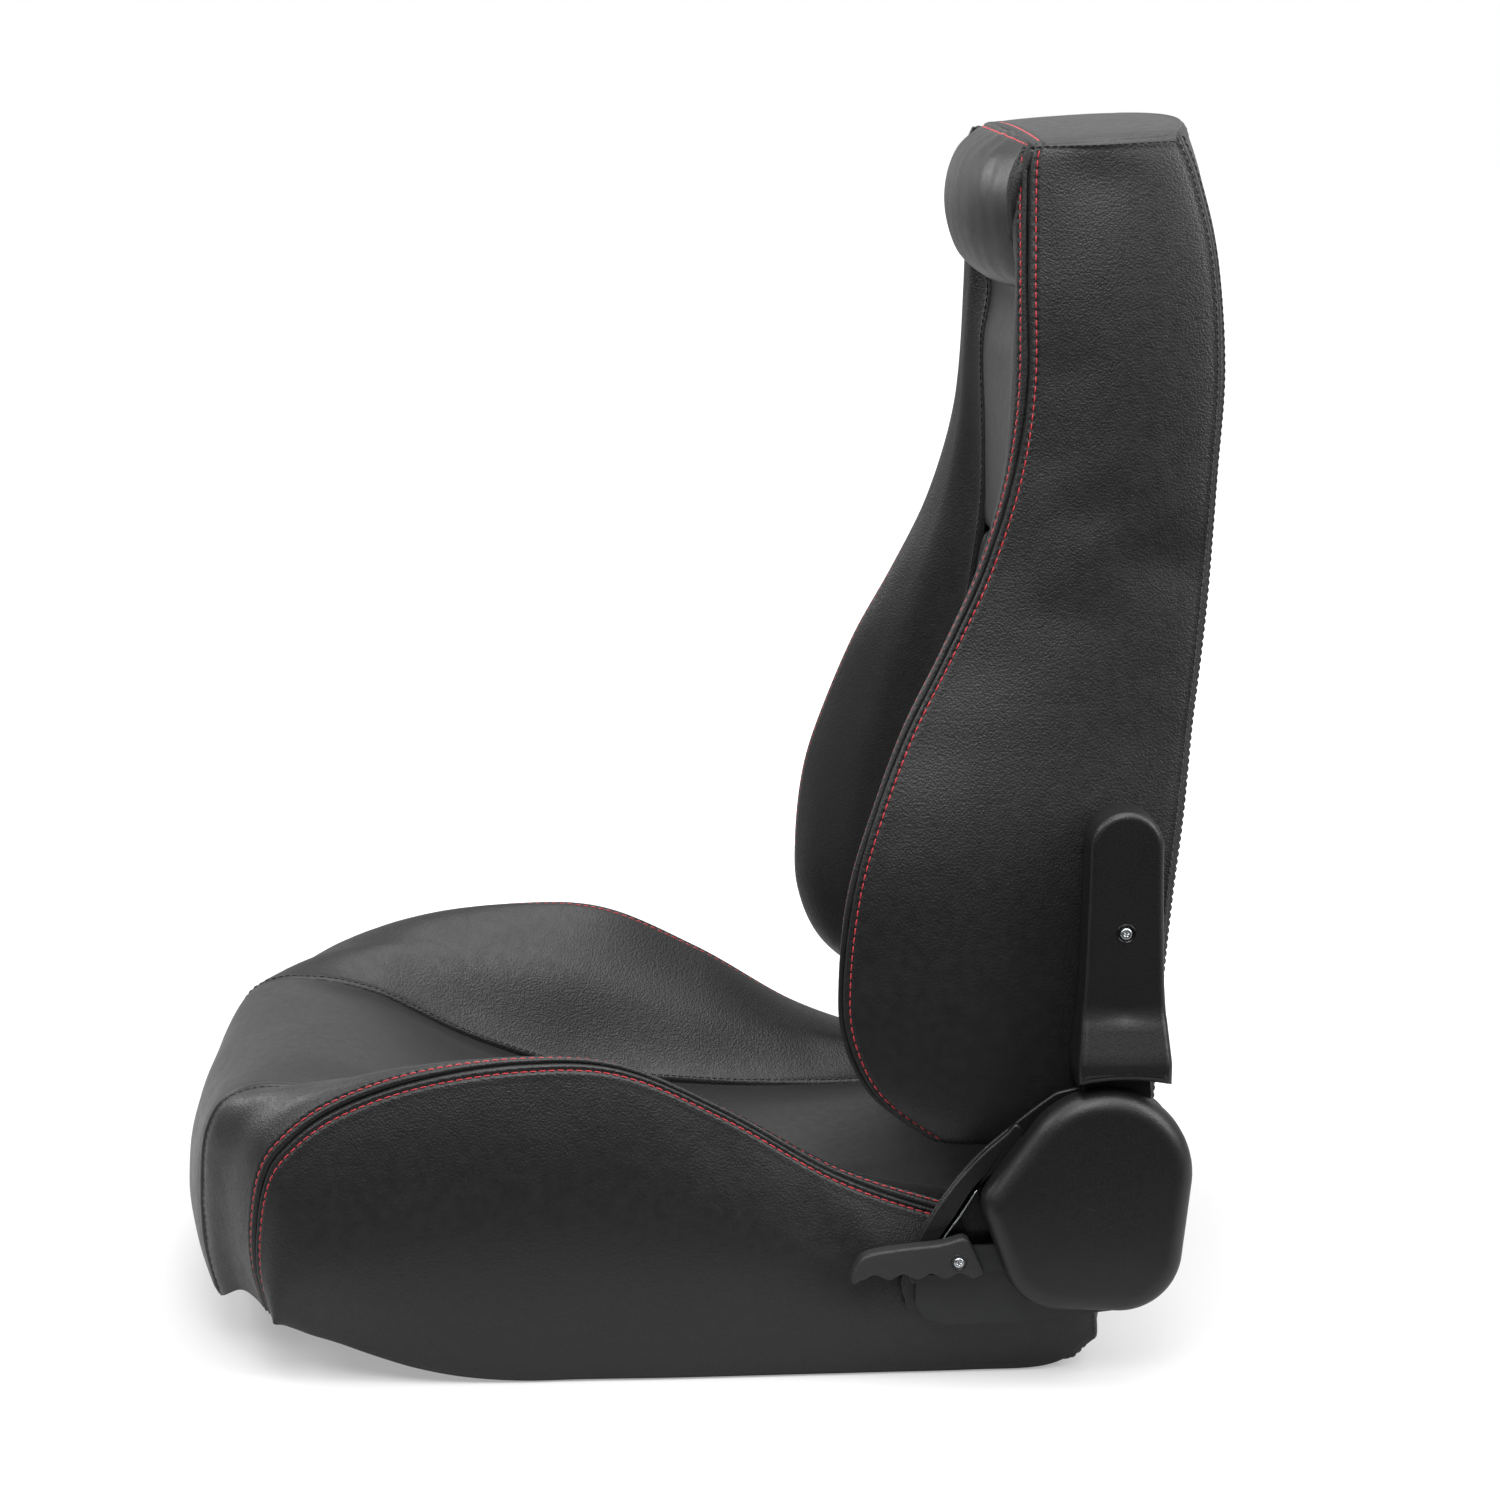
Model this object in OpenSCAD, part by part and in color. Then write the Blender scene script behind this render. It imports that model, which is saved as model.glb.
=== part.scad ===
// Reclining sport seat: a steel frame carrying foam pads and sewn vinyl covers,
// with a toothed recliner and one release lever on the occupant's left.
// The front of the seat faces -Y, the occupant's left is +X, and the floor is z = 0.
// The origin is the centre of the four mounting holes.

/* [Cushion] */
// Width across the cushion's side covers
cushion_w = 496; // [400:1:600]
// Depth of the cushion, from the nose to the rear cover
cushion_d = 670; // [540:1:810]
// Height of the cushion's side bolsters
bolster_h = 233; // [190:1:285]

/* [Backrest] */
// Height of the backrest's top above the recline pivot
back_h = 722; // [595:1:870]
// Depth of the backrest, from its wings to its rear cover
back_d = 224; // [186:1:270]

/* [Covers] */
// Thickness of the vinyl and its foam lining
cover_t = 6; // [4:0.5:7.5]

/* [Frame] */
// Spacing of the mounting holes across the seat
hole_dx = 350; // [290:1:370]
// Spacing of the mounting holes along the seat
hole_dy = 330; // [270:1:380]
// Outer diameter of the cushion's cross tubes
cross_tube_d = 22; // [18:0.5:24]
// Outer diameter of the backrest's bent tube
hoop_d = 22; // [18:0.5:25]
// Wall of every tube and rail
tube_wall = 2; // [1.2:0.1:3]

/* [Recliner] */
// Thickness of the recliner's steel plates
plate_t = 4; // [3:0.1:5]
// Radius of the recline pivot pin
pivot_r = 8; // [6:0.1:10]
// Radius of the release shaft
shaft_r = 5; // [4:0.1:6]
// Length of the release lever's grip
grip_l = 96; // [78:1:118]

/* [Hidden] */

vinyl = "#1b1b1c";
foam = "#d8cf9a";
painted = "#222426";
zinc = "#b9bcc0";
abs_black = "#202020";

$fn = 48;
run = 0.05;          // radial clearance of a turning pin
eps = 0.01;

// Outlines are drawn for the nominal seat and stretched to the driving sizes.
kx = cushion_w / 496;
ky = cushion_d / 670;
kz = bolster_h / 233;
kh = back_h / 722;
kt = back_d / 224;

side_x = cushion_w / 2;                    // the plane of the cushion's sides
pivot = [279 * ky, 106 * kz + 52];         // recline axis, [y, z], a fixed height above the crest
shaft = pivot + [-47, -36];                // release shaft's axis, [y, z]
pawl_pin = pivot + [22, -56];              // pawl's axis, [y, z]

// The recliner's layers, outwards from the cushion's side
backing_x = side_x + 0.5;
backing_t = 3;
lower_x = side_x + 4.5;
upper_x = lower_x + plate_t + 0.5;
lever_x = upper_x + plate_t + 1;
lever_t = 3;
shell_x = lower_x + plate_t + 0.5;
bolt_head_t = 5;
shell_top = upper_x + plate_t + 25;
shell_wall = 2.5;

foot_t = 8;
foot_size = [56, 44];
foot_hole_r = 3.4;                         // core of an M8 thread
rail_w = 30;
rail_h = 25;
rail_x = hole_dx / 2;
cross_z = foot_t + rail_h + cross_tube_d / 2;
foam_z = cross_z + cross_tube_d / 2 + 5;   // underside of the cushion foam
bracket_x = side_x - 17 * kx - cover_t - plate_t - 0.5;

// ---------- curves and surfaces ----------

// A smooth curve through control points, at position s along them
function spline(p, s) =
    let (n = len(p) - 1, i = min(floor(s), n - 1), t = s - i,
         a = p[max(i - 1, 0)], b = p[i], c = p[i + 1], d = p[min(i + 2, n)])
    (2 * b + (c - a) * t + (2 * a - 5 * b + 4 * c - d) * t * t
     + (3 * b - a - 3 * c + d) * t * t * t) / 2;

function flip(p) = [-p[0], p[1], p[2]];
function unit(v) = v / norm(v);

// The point of a half surface at u along its rails and v across them; v < 0 is the mirror half
function on(rails, u, v) =
    let (q = spline([for (r = rails) spline(r, u)], abs(v))) v < 0 ? flip(q) : q;

// The outward direction at a point, from the surface a little to each side
function normal(rails, u, v) =
    let (h = 0.02,
         across = on(rails, u, v + h) - on(rails, u, v - h),
         along = on(rails, u + h, v) - on(rails, max(u - h, 0), v))
    unit(cross(across, along));

// A surface's point moved inwards by a depth
function below(rails, u, v, depth) = on(rails, u, v) - depth * normal(rails, u, v);

function steps(a, b, n) = [for (i = [0:n]) a + (b - a) * i / n];

// A closed solid between two equal grids of points, the outer one seen from its front
module slab(outer, inner) {
    m = len(outer);
    n = len(outer[0]);
    size = m * n;
    edge = concat(
        [for (j = [0:n - 1]) j],
        [for (i = [1:m - 1]) i * n + n - 1],
        [for (j = [n - 2:-1:0]) (m - 1) * n + j],
        [for (i = [m - 2:-1:1]) i * n]);
    k = len(edge);
    polyhedron(
        points = concat([for (r = outer) each r], [for (r = inner) each r]),
        faces = concat(
            [for (i = [0:m - 2], j = [0:n - 2]) each [
                [i * n + j, (i + 1) * n + j, i * n + j + 1],
                [i * n + j + 1, (i + 1) * n + j, (i + 1) * n + j + 1]]],
            [for (i = [0:m - 2], j = [0:n - 2]) each [
                [size + i * n + j, size + i * n + j + 1, size + (i + 1) * n + j],
                [size + i * n + j + 1, size + (i + 1) * n + j + 1, size + (i + 1) * n + j]]],
            [for (e = [0:k - 1]) each [
                [edge[e], edge[(e + 1) % k], size + edge[e]],
                [edge[(e + 1) % k], size + edge[(e + 1) % k], size + edge[e]]]]));
}

// A cover: a sheet of one thickness over part of a surface
module cover(rails, us, vs, t = cover_t)
    slab([for (u = us) [for (v = vs) on(rails, u, v)]],
         [for (u = us) [for (v = vs) below(rails, u, v, t)]]);

module pair(side) {
    if (side > 0) children();
    else mirror([1, 0, 0]) children();
}

// ---------- plates and tubes that lie across the seat ----------

// Places a flat shape drawn in [y, z] as a plate whose inner face is at x
module plate(x, t) translate([x, 0, 0]) rotate([90, 0, 90]) linear_extrude(t) children();

// A round bar along X at [y, z]
module bar(at, r, x0, x1)
    translate([x0, at[0], at[1]]) rotate([0, 90, 0]) cylinder(r = r, h = x1 - x0);

// A hexagon head or nut along X at [y, z]
module hex(at, r, x0, x1)
    translate([x0, at[0], at[1]]) rotate([0, 90, 0]) cylinder(r = r, h = x1 - x0, $fn = 6);

// A ring of points round point i of a path that never runs along the direction up
function ring(points, i, r, sides, up) =
    let (n = len(points), d = unit(points[min(i + 1, n - 1)] - points[max(i - 1, 0)]),
         a = unit(cross(d, up)), b = cross(d, a))
    [for (k = [0:sides - 1]) points[i] + r * (cos(360 * k / sides) * a + sin(360 * k / sides) * b)];

// The side faces of a sweep whose rings start at point number first
function swept(n, sides, first = 0, inward = false) =
    [for (i = [0:n - 2], k = [0:sides - 1])
        let (a = first + i * sides + k, b = first + i * sides + (k + 1) % sides, c = a + sides, d = b + sides)
        each (inward ? [[a, b, c], [b, d, c]] : [[a, c, b], [b, c, d]])];

// A solid wire of radius r swept along points
module wire(points, r, sides, up) {
    n = len(points);
    polyhedron(
        points = [for (i = [0:n - 1]) each ring(points, i, r, sides, up)],
        faces = concat(
            [[for (k = [0:sides - 1]) k]],
            swept(n, sides),
            [[for (k = [sides - 1:-1:0]) (n - 1) * sides + k]]));
}

// A hollow tube swept along points, open at both ends
module tube(points, r, wall, sides, up) {
    n = len(points);
    in0 = n * sides;
    last = (n - 1) * sides;
    polyhedron(
        points = concat([for (i = [0:n - 1]) each ring(points, i, r, sides, up)],
                        [for (i = [0:n - 1]) each ring(points, i, r - wall, sides, up)]),
        faces = concat(
            swept(n, sides),
            swept(n, sides, in0, true),
            [for (k = [0:sides - 1]) let (j = (k + 1) % sides) each [
                [k, j, in0 + k], [j, in0 + j, in0 + k],
                [last + k, in0 + last + k, last + j], [last + j, in0 + last + k, in0 + last + j]]]));
}

// ---------- cushion surface ----------
// Each rail runs from the front hem up the nose and back along the top.

function seat(x, yz) = [for (i = [0:len(yz) - 1])
    [(is_list(x) ? x[i] : x) * kx, yz[i][0] * ky, yz[i][1] * kz]];

seat_centre = seat(0, [
    [-366, 34], [-379, 75], [-378, 120], [-366, 160], [-342, 189], [-300, 200], [-238, 184],
    [-165, 149], [-80, 121], [20, 107], [110, 104], [190, 106], [240, 102], [276, 88]]);
seat_seam = seat(148, [
    [-352, 38], [-361, 80], [-362, 122], [-357, 165], [-340, 190], [-303, 197], [-245, 184],
    [-170, 146], [-80, 116], [20, 104], [110, 102], [190, 104], [240, 100], [276, 86]]);
seat_crest = seat([218, 221, 223, 225, 226, 227, 228, 228, 228, 228, 227, 226, 225, 224], [
    [-311, 50], [-318, 80], [-318, 115], [-311, 152], [-296, 175], [-262, 201], [-205, 222],
    [-130, 233], [-60, 229], [15, 195], [92, 149], [165, 121], [225, 106], [276, 88]]);
seat_hem = seat([224, 229, 233, 236, 238, 239, 240, 240, 240, 239, 238, 237, 236, 234], [
    [-301, 42], [-285, 36], [-262, 30], [-235, 21], [-205, 12], [-170, 5], [-130, 1.5],
    [-85, 1.5], [-30, 1.5], [40, 1.5], [115, 1.5], [190, 1.5], [248, 4], [284, 24]]);
bolster_swell = 9;
side_swell = 13;

function between(a, b, k, out) = [for (i = [0:len(a) - 1]) a[i] + (b[i] - a[i]) * k + out];

seat_rails = [
    seat_centre,
    [for (i = [0:len(seat_centre) - 1]) let (a = seat_centre[i], b = seat_seam[i])
        [b[0] / 2, a[1] + (b[1] - a[1]) / 4, a[2] + (b[2] - a[2]) / 4]],
    seat_seam,
    between(seat_seam, seat_crest, 0.55, [-bolster_swell / 2, -2, bolster_swell]),
    seat_crest,
    between(seat_crest, seat_hem, 0.45, [side_swell * kx, 0, 0]),
    seat_hem
];
seat_end = len(seat_centre) - 1;
seam_v = 2;
crest_v = 4;
hem_v = 6;
split = 0.012;                  // half the gap between two covers, in rail steps

// ---------- backrest surface ----------
// Each rail runs from the bottom to the top; y and z are from the recline pivot.

function rest(x, yz) = [for (i = [0:len(yz) - 1])
    [(is_list(x) ? x[i] : x) * kx, pivot[0] + yz[i][0] * kt, pivot[1] + yz[i][1] * kh]];

rest_centre = rest(0, [
    [-84, 14], [-87, 47], [-86, 87], [-82, 132], [-74, 192], [-66, 244], [-57, 302], [-48, 358],
    [-42, 418], [-41, 482], [-42, 545], [-34, 596], [-84, 662], [-50, 714]]);
rest_seam = rest([132, 133, 134, 134, 133, 131, 129, 127, 125, 124, 122, 126, 145, 148], [
    [-88, 14], [-91, 47], [-89, 87], [-83, 132], [-76, 192], [-69, 244], [-60, 302], [-51, 358],
    [-44, 418], [-44, 482], [-46, 545], [-41, 594], [-57, 662], [-41, 708]]);
rest_crest = rest([224, 224, 223, 222, 219, 212, 200, 190, 183, 178, 173, 165, 155, 152], [
    [-111, 10], [-157, 45], [-178, 87], [-181, 132], [-174, 192], [-159, 244], [-136, 302],
    [-107, 358], [-79, 418], [-59, 482], [-50, 547], [-50, 622], [-49, 692], [-45, 710]]);
rest_rear = rest([226, 227, 228, 228, 224, 216, 205, 196, 188, 182, 176, 168, 160, 156], [
    [39, 14], [41, 47], [43, 87], [46, 132], [52, 192], [59, 244], [66, 302], [73, 358],
    [79, 418], [84, 482], [88, 555], [83, 632], [70, 687], [57, 718]]);
wing_swell = 9;
flank_swell = 9;

rest_rails = [
    rest_centre,
    [for (i = [0:len(rest_centre) - 1]) let (a = rest_centre[i], b = rest_seam[i])
        [b[0] / 2, a[1] + (b[1] - a[1]) / 4, a[2] + (b[2] - a[2]) / 4]],
    rest_seam,
    between(rest_seam, rest_crest, 0.55, [-wing_swell / 2, -wing_swell, 0]),
    rest_crest,
    between(rest_crest, rest_rear, 0.45, [flank_swell * kx, 0, 0]),
    rest_rear
];
rest_end = len(rest_centre) - 1;
insert_end = 11;                // where the headrest starts, in rail steps
insert_split = 7.7;             // where the lower insert meets the upper one

// The headrest's roll, from the valley under it, round its front, to the top seam
head_centre = rest(0, [
    [-34, 600], [-58, 606], [-76, 621], [-85, 647], [-85, 674], [-77, 697], [-61, 711], [-48, 715]]);
head_end = rest(129, [
    [-34, 603], [-46, 613], [-54, 629], [-59, 652], [-58, 676], [-52, 694], [-46, 704], [-42, 708]]);
head_rails = [
    head_centre,
    [for (i = [0:len(head_centre) - 1]) let (a = head_centre[i], b = head_end[i])
        [b[0] * 0.55, a[1] + (b[1] - a[1]) * 0.2, a[2] + (b[2] - a[2]) * 0.2]],
    head_end
];

// How far the rear cover is bowed behind its side seams
rear_bow = 13;
arm_y = pivot[0] + 12;                     // centre line of the backrest's arms
arm_bolt_z = [pivot[1] + 118, pivot[1] + 226 * kh];
arm_screw_z = (arm_bolt_z[0] + arm_bolt_z[1]) / 2 + 2;
hoop_x = side_x - 38 * kx - 14;

// ---------- cushion ----------

module mounting_feet() color(painted)
    for (x = [-1, 1], y = [-1, 1]) translate([x * hole_dx / 2, y * hole_dy / 2, 0])
        difference() {
            translate([-foot_size[0] / 2, -foot_size[1] / 2, 0]) cube([foot_size[0], foot_size[1], foot_t]);
            translate([0, 0, -1]) cylinder(r = foot_hole_r, h = foot_t + 2);
        }

rail_y = [-hole_dy / 2 - 34, hole_dy / 2 + 70];

module rail() {
    inner = [rail_w - 2 * tube_wall, rail_h - 2 * tube_wall];
    difference() {
        translate([rail_x - rail_w / 2, rail_y[0], foot_t]) cube([rail_w, rail_y[1] - rail_y[0], rail_h]);
        translate([rail_x - inner[0] / 2, rail_y[0] - 1, foot_t + tube_wall])
            cube([inner[0], rail_y[1] - rail_y[0] + 2, inner[1]]);
        for (y = [-1, 1]) translate([rail_x, y * hole_dy / 2, foot_t - 1])
            cylinder(r = 7, h = tube_wall + 2);
    }
}

module rail_left() color(painted) rail();
module rail_right() color(painted) mirror([1, 0, 0]) rail();

cross_y = [-hole_dy / 2 - 20, hole_dy / 2 + 50];

module cross_tube(y) color(painted) difference() {
    bar([y, cross_z], cross_tube_d / 2, -bracket_x, bracket_x);
    bar([y, cross_z], cross_tube_d / 2 - tube_wall, -bracket_x - 1, bracket_x + 1);
}

module front_cross_tube() cross_tube(cross_y[0]);
module rear_cross_tube() cross_tube(cross_y[1]);

// The recliner's two bolts on each side, from the pivot, [y, z]
recliner_bolt_at = [pivot + [-44, -84], pivot + [-13, -88]];
bolt_r = 4;
bolt_play = 0.2;

module side_bracket() plate(bracket_x, plate_t) difference() {
    polygon([
        [cross_y[1] - 60, cross_z - 26], [pivot[0] - 17, cross_z - 26],
        [pivot[0] - 2, pivot[1] - 112], [pivot[0] - 2, pivot[1] - 79],
        [pivot[0] - 56, pivot[1] - 72],
        [cross_y[1] - 60, cross_z + 18]]);
    for (p = recliner_bolt_at) translate(p) circle(r = bolt_r + bolt_play);
}

module side_bracket_left() color(painted) side_bracket();
module side_bracket_right() color(painted) mirror([1, 0, 0]) side_bracket();

// A flat zigzag spring in the plane of directions a and b, from a point
function zigzag(start, a, b, length, swing, bends) = [for (i = [0:bends * 4])
    let (t = i / (bends * 4)) start + a * (length * t) + b * (swing * sin(360 * bends * t / 2))];

module seat_springs() color(zinc)
    for (i = [-2:2])
        wire(zigzag([i * 62, cross_y[0], foam_z - 3], [0, 1, 0], [1, 0, 0],
                    cross_y[1] - cross_y[0], 20, 9), 1.8, 5, [0, 0, 1]);

module cushion_foam() color(foam) {
    us = steps(3, seat_end - 0.4, 20);
    vs = steps(-crest_v, crest_v, 16);
    depth = cover_t + 6;
    difference() {
        slab([for (u = us) [for (v = vs) below(seat_rails, u, v, depth)]],
             [for (u = us) [for (v = vs) let (p = below(seat_rails, u, v, depth)) [p[0] * 0.985, p[1], foam_z]]]);
        for (side = [-1, 1], p = recliner_bolt_at) pair(side) bar(p, 11, bracket_x - 12, side_x);
    }
}

module cushion_insert_cover() color(vinyl)
    cover(seat_rails, steps(0, seat_end, 26), steps(-seam_v + split, seam_v - split, 8));

module cushion_bolster_cover()
    cover(seat_rails, steps(0, seat_end, 26), steps(seam_v + split, crest_v - split, 4));
module cushion_bolster_cover_left() color(vinyl) cushion_bolster_cover();
module cushion_bolster_cover_right() color(vinyl) mirror([1, 0, 0]) cushion_bolster_cover();

// Holes for what passes through the cushion's side cover to the recliner
module side_holes() for (p = recliner_bolt_at) bar(p, 10, 200, side_x + 10);

module cushion_side_cover() difference() {
    cover(seat_rails, steps(0, seat_end, 26), steps(crest_v + split, hem_v, 5));
    side_holes();
}
module cushion_side_cover_left() color(vinyl) cushion_side_cover();
module cushion_side_cover_right() color(vinyl) mirror([1, 0, 0]) cushion_side_cover();

module cushion_rear_cover() color(vinyl) {
    half = bracket_x - 1.5;
    rows = [[281, 78], [287, 60], [288, 40], [284, 22], [272, 8], [262, 5]];
    across = steps(-1, 1, 8);
    outer = [for (r = rows) [for (k = across) [half * k, (r[0] + 5 - 5 * k * k) * ky, r[1] * kz]]];
    inner = [for (i = [0:len(rows) - 1]) let (r = rows[i], lift = i > 3 ? cover_t : 0)
        [for (k = across) [half * k, (r[0] + 5 - 5 * k * k) * ky - cover_t + lift / 2, r[1] * kz + lift]]];
    slab(outer, inner);
}

// ---------- recliner ----------

sector_r = 42;
tooth_h = 2.4;
tooth_n = 40;

// Teeth on a circle of tip radius r, between two angles
function teeth(r, a0, a1, n) = [for (i = [0:n]) let (a = a0 + (a1 - a0) * i / n)
    each [r * [cos(a), sin(a)], (r - tooth_h) * [cos(a + (a1 - a0) / n / 2), sin(a + (a1 - a0) / n / 2)]]];

module recliner_plate() plate(lower_x, plate_t) difference() {
    union() {
        translate(pivot) circle(r = 34);
        polygon([
            pivot + [-131, -80], pivot + [-131, -98], pivot + [-124, -109], pivot + [-110, -114],
            pivot + [-60, -113], pivot + [10, -106], pivot + [38, -92], pivot + [44, -60],
            pivot + [34, 0], pivot + [-34, 0], pivot + [-62, -30], pivot + [-66, -74], pivot + [-124, -77]]);
    }
    translate(pivot) circle(r = pivot_r + run);
    translate(shaft) circle(r = shaft_r + run);
    translate(pawl_pin) circle(r = 4);
    for (p = recliner_bolt_at) translate(p) circle(r = bolt_r + bolt_play);
}
module recliner_plate_left() color(painted) recliner_plate();
module recliner_plate_right() color(painted) mirror([1, 0, 0]) recliner_plate();

module recliner_spacers() color(zinc) for (side = [-1, 1], p = recliner_bolt_at) pair(side)
    difference() {
        bar(p, 8, bracket_x + plate_t, lower_x);
        bar(p, bolt_r + bolt_play, bracket_x, lower_x + 1);
    }

module recliner_bolts() color(zinc) for (side = [-1, 1], p = recliner_bolt_at) pair(side) {
    bar(p, bolt_r, bracket_x - 8, lower_x + plate_t + eps);
    hex(p, 7.5, bracket_x - 6.5, bracket_x);
    hex(p, 7, lower_x + plate_t, lower_x + plate_t + bolt_head_t);
}

module pivot_pins() color(zinc) for (side = [-1, 1]) pair(side) {
    bar(pivot, pivot_r, lower_x - 3, upper_x + plate_t + 14);
    bar(pivot, pivot_r + 4, lower_x - 3, lower_x);
}

module pawl_pins() color(zinc) for (side = [-1, 1]) pair(side) {
    bar(pawl_pin, 4, lower_x, upper_x + plate_t + 1);
}

// The shell's outline, made from the rounds at its corners
shell_rounds = [[[0, 0], 62], [[12, -56], 44], [[-30, -56], 42], [[-62, -22], 24]];

// A puck with a rounded outer edge
module puck(r, x0, x1, edge)
    translate([x0, 0, 0]) rotate([0, 90, 0]) rotate_extrude($fn = 40)
        polygon(concat([[0, 0], [r, 0]],
            [for (a = [0:22.5:90]) [r - edge + edge * cos(a), x1 - x0 - edge + edge * sin(a)]],
            [[0, x1 - x0]]));

module shell_body(inset, x0, x1, edge) hull()
    for (c = shell_rounds) translate([0, pivot[0] + c[0][0], pivot[1] + c[0][1]])
        puck(c[1] - inset, x0, x1, edge);

module outer_cover(lever_slot) difference() {
    shell_body(0, shell_x, shell_top, 13);
    shell_body(shell_wall, shell_x - 1, shell_top - shell_wall, 11);
    // The slot that the backrest's arm swings in
    plate(shell_x - 1, upper_x + plate_t + 1.5 - shell_x) translate(pivot) polygon(concat(
        [[0, 0]], [for (a = [-10:12:158]) 100 * [cos(a), sin(a)]]));
    if (lever_slot)
        plate(lever_x - 1, lever_t + 2.5) translate(shaft)
            polygon([[0, -34], [-60, -44], [-60, 12], [0, 4]]);
}
module outer_cover_left() color(abs_black) outer_cover(true);
module outer_cover_right() color(abs_black) mirror([1, 0, 0]) outer_cover(false);

// The backing cover's outline from the pivot: its front edge swings round the recliner
backing_edge = [
    [-26, 56], [-40, 49], [-68, 27], [-86, 11], [-103, -9], [-117, -29], [-131, -53], [-139, -75],
    [-141, -86], [-138, -96], [-131, -104], [-60, -106], [10, -103], [50, -80], [60, -20],
    [61, 10], [40, 46], [10, 60]];
// The raised band along that edge, above the recliner plate's foot
backing_band = [
    [-68, 27], [-86, 11], [-103, -9], [-117, -29], [-128, -48], [-128, -62], [-114, -58],
    [-104, -40], [-90, -18], [-76, -6], [-66, 2]];

module backing_cover() difference() {
    union() {
        plate(backing_x, backing_t) translate(pivot) polygon(backing_edge);
        plate(backing_x, upper_x - backing_x - 0.5) translate(pivot) polygon(backing_band);
    }
    bar(pivot, 14, side_x, side_x + 20);
    bar(shaft, shaft_r + 1, side_x, side_x + 20);
    for (p = recliner_bolt_at) bar(p, 9, side_x, side_x + 20);
}
module backing_cover_left() color(abs_black) backing_cover();
module backing_cover_right() color(abs_black) mirror([1, 0, 0]) backing_cover();

// A flat spiral spring round the pivot pin
module spiral_spring() {
    x0 = upper_x + plate_t + 5;
    turns = 3.5;
    strip = 1.2;
    r0 = pivot_r + 0.3;
    pitch = 5.5;
    a = [for (i = [0:84]) 360 * turns * i / 84];
    plate(x0, 8) translate(pivot) polygon(concat(
        [for (t = a) (r0 + pitch * t / 360) * [cos(t), sin(t)]],
        [for (i = [84:-1:0]) (r0 + strip + pitch * a[i] / 360) * [cos(a[i]), sin(a[i])]]));
}
module spiral_spring_left() color(zinc) spiral_spring();
module spiral_spring_right() color(zinc) mirror([1, 0, 0]) spiral_spring();

module lever_spring() color(zinc) {
    turns = 4;
    x0 = lever_x + lever_t + 4.5;
    wire([for (i = [0:turns * 12]) let (a = 30 * i)
        [x0 + 2.4 * i / 12, shaft[0] + (shaft_r + 2.4) * cos(a), shaft[1] + (shaft_r + 2.4) * sin(a)]],
         0.9, 6, [1, 0, 0]);
}

module lever_arm() color(painted) plate(lever_x, lever_t) difference() {
    union() {
        translate(shaft) circle(r = 13);
        polygon([for (p = [[-88, -37], [-20, -36], [10, -8], [4, 12], [-12, 5], [-26, -16], [-88, -19]]) shaft + p]);
    }
    translate(shaft) circle(r = shaft_r);
    translate(grip_screw_at) circle(r = 2.2);
}

grip_x = [lever_x - 4.5, lever_x + lever_t + 6.5];
grip_screw_at = shaft + [-55, -27];

module lever_grip() color(abs_black) difference() {
    plate(grip_x[0], grip_x[1] - grip_x[0]) translate(shaft) translate([-36, -38]) polygon(concat(
        [[-14, 28], [-18, 28], [-33, 24], [-62, 21]],
        [[-grip_l + 12, 17], [-grip_l + 4, 8], [-grip_l, -1], [-grip_l + 3, -4]],
        [for (i = [0:24]) let (t = i / 24) [-grip_l + 8 + t * (grip_l - 16), 0.5 - 2 * cos(360 * 4 * t)]],
        [[0, 1]]));
    plate(lever_x - 0.1, lever_t + 0.2)
        polygon([for (p = [[-88.2, -37.2], [-30, -36.2], [-26, -15.6], [-88.2, -18.6]]) shaft + p]);
    bar(grip_screw_at, 5.2, grip_x[1] - 3.5, grip_x[1] + 1);
    bar(grip_screw_at, 2.2, grip_x[0] + 1, grip_x[1]);
}

module grip_screw() color(zinc) {
    bar(grip_screw_at, 2, lever_x - 2, grip_x[1] - 3.5);
    difference() {
        bar(grip_screw_at, 4, grip_x[1] - 3.5, grip_x[1] - 1.2);
        for (a = [0, 90]) translate([grip_x[1] - 2.4, grip_screw_at[0], grip_screw_at[1]])
            rotate([a + 20, 0, 0]) translate([0, -2.2, -0.4]) cube([3, 4.4, 0.8]);
    }
}

module release_shaft() color(zinc) bar(shaft, shaft_r, -(lever_x + lever_t + 1), lever_x + lever_t + 16);

// The cams that hold the pawls in mesh, one beside each arm plate
module release_cams() color(zinc) for (side = [-1, 1]) pair(side)
    plate(upper_x, plate_t - 0.4) difference() {
        union() {
            translate(shaft) circle(r = 9);
            polygon([for (p = [[-4, -8], [7, -16], [11, -11], [8, 4]]) shaft + p]);
        }
        translate(shaft) circle(r = shaft_r);
    }

module pawl() plate(upper_x, plate_t) difference() {
    union() {
        translate(pawl_pin) circle(r = 9);
        polygon(concat(
            [pivot + [24, -62], pivot + [-14, -62], pivot + [-26, -55], pivot + [-29, -46]],
            [for (a = [235:2.5:262.5]) each [
                pivot + (sector_r + 0.6) * [cos(a), sin(a)],
                pivot + (sector_r + 2.6) * [cos(a + 1.25), sin(a + 1.25)]]],
            [pivot + [4, -52], pivot + [18, -50]]));
    }
    translate(pawl_pin) circle(r = 4 + run);
}
module pawl_left() color(zinc) pawl();
module pawl_right() color(zinc) mirror([1, 0, 0]) pawl();

// ---------- backrest frame ----------

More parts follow.
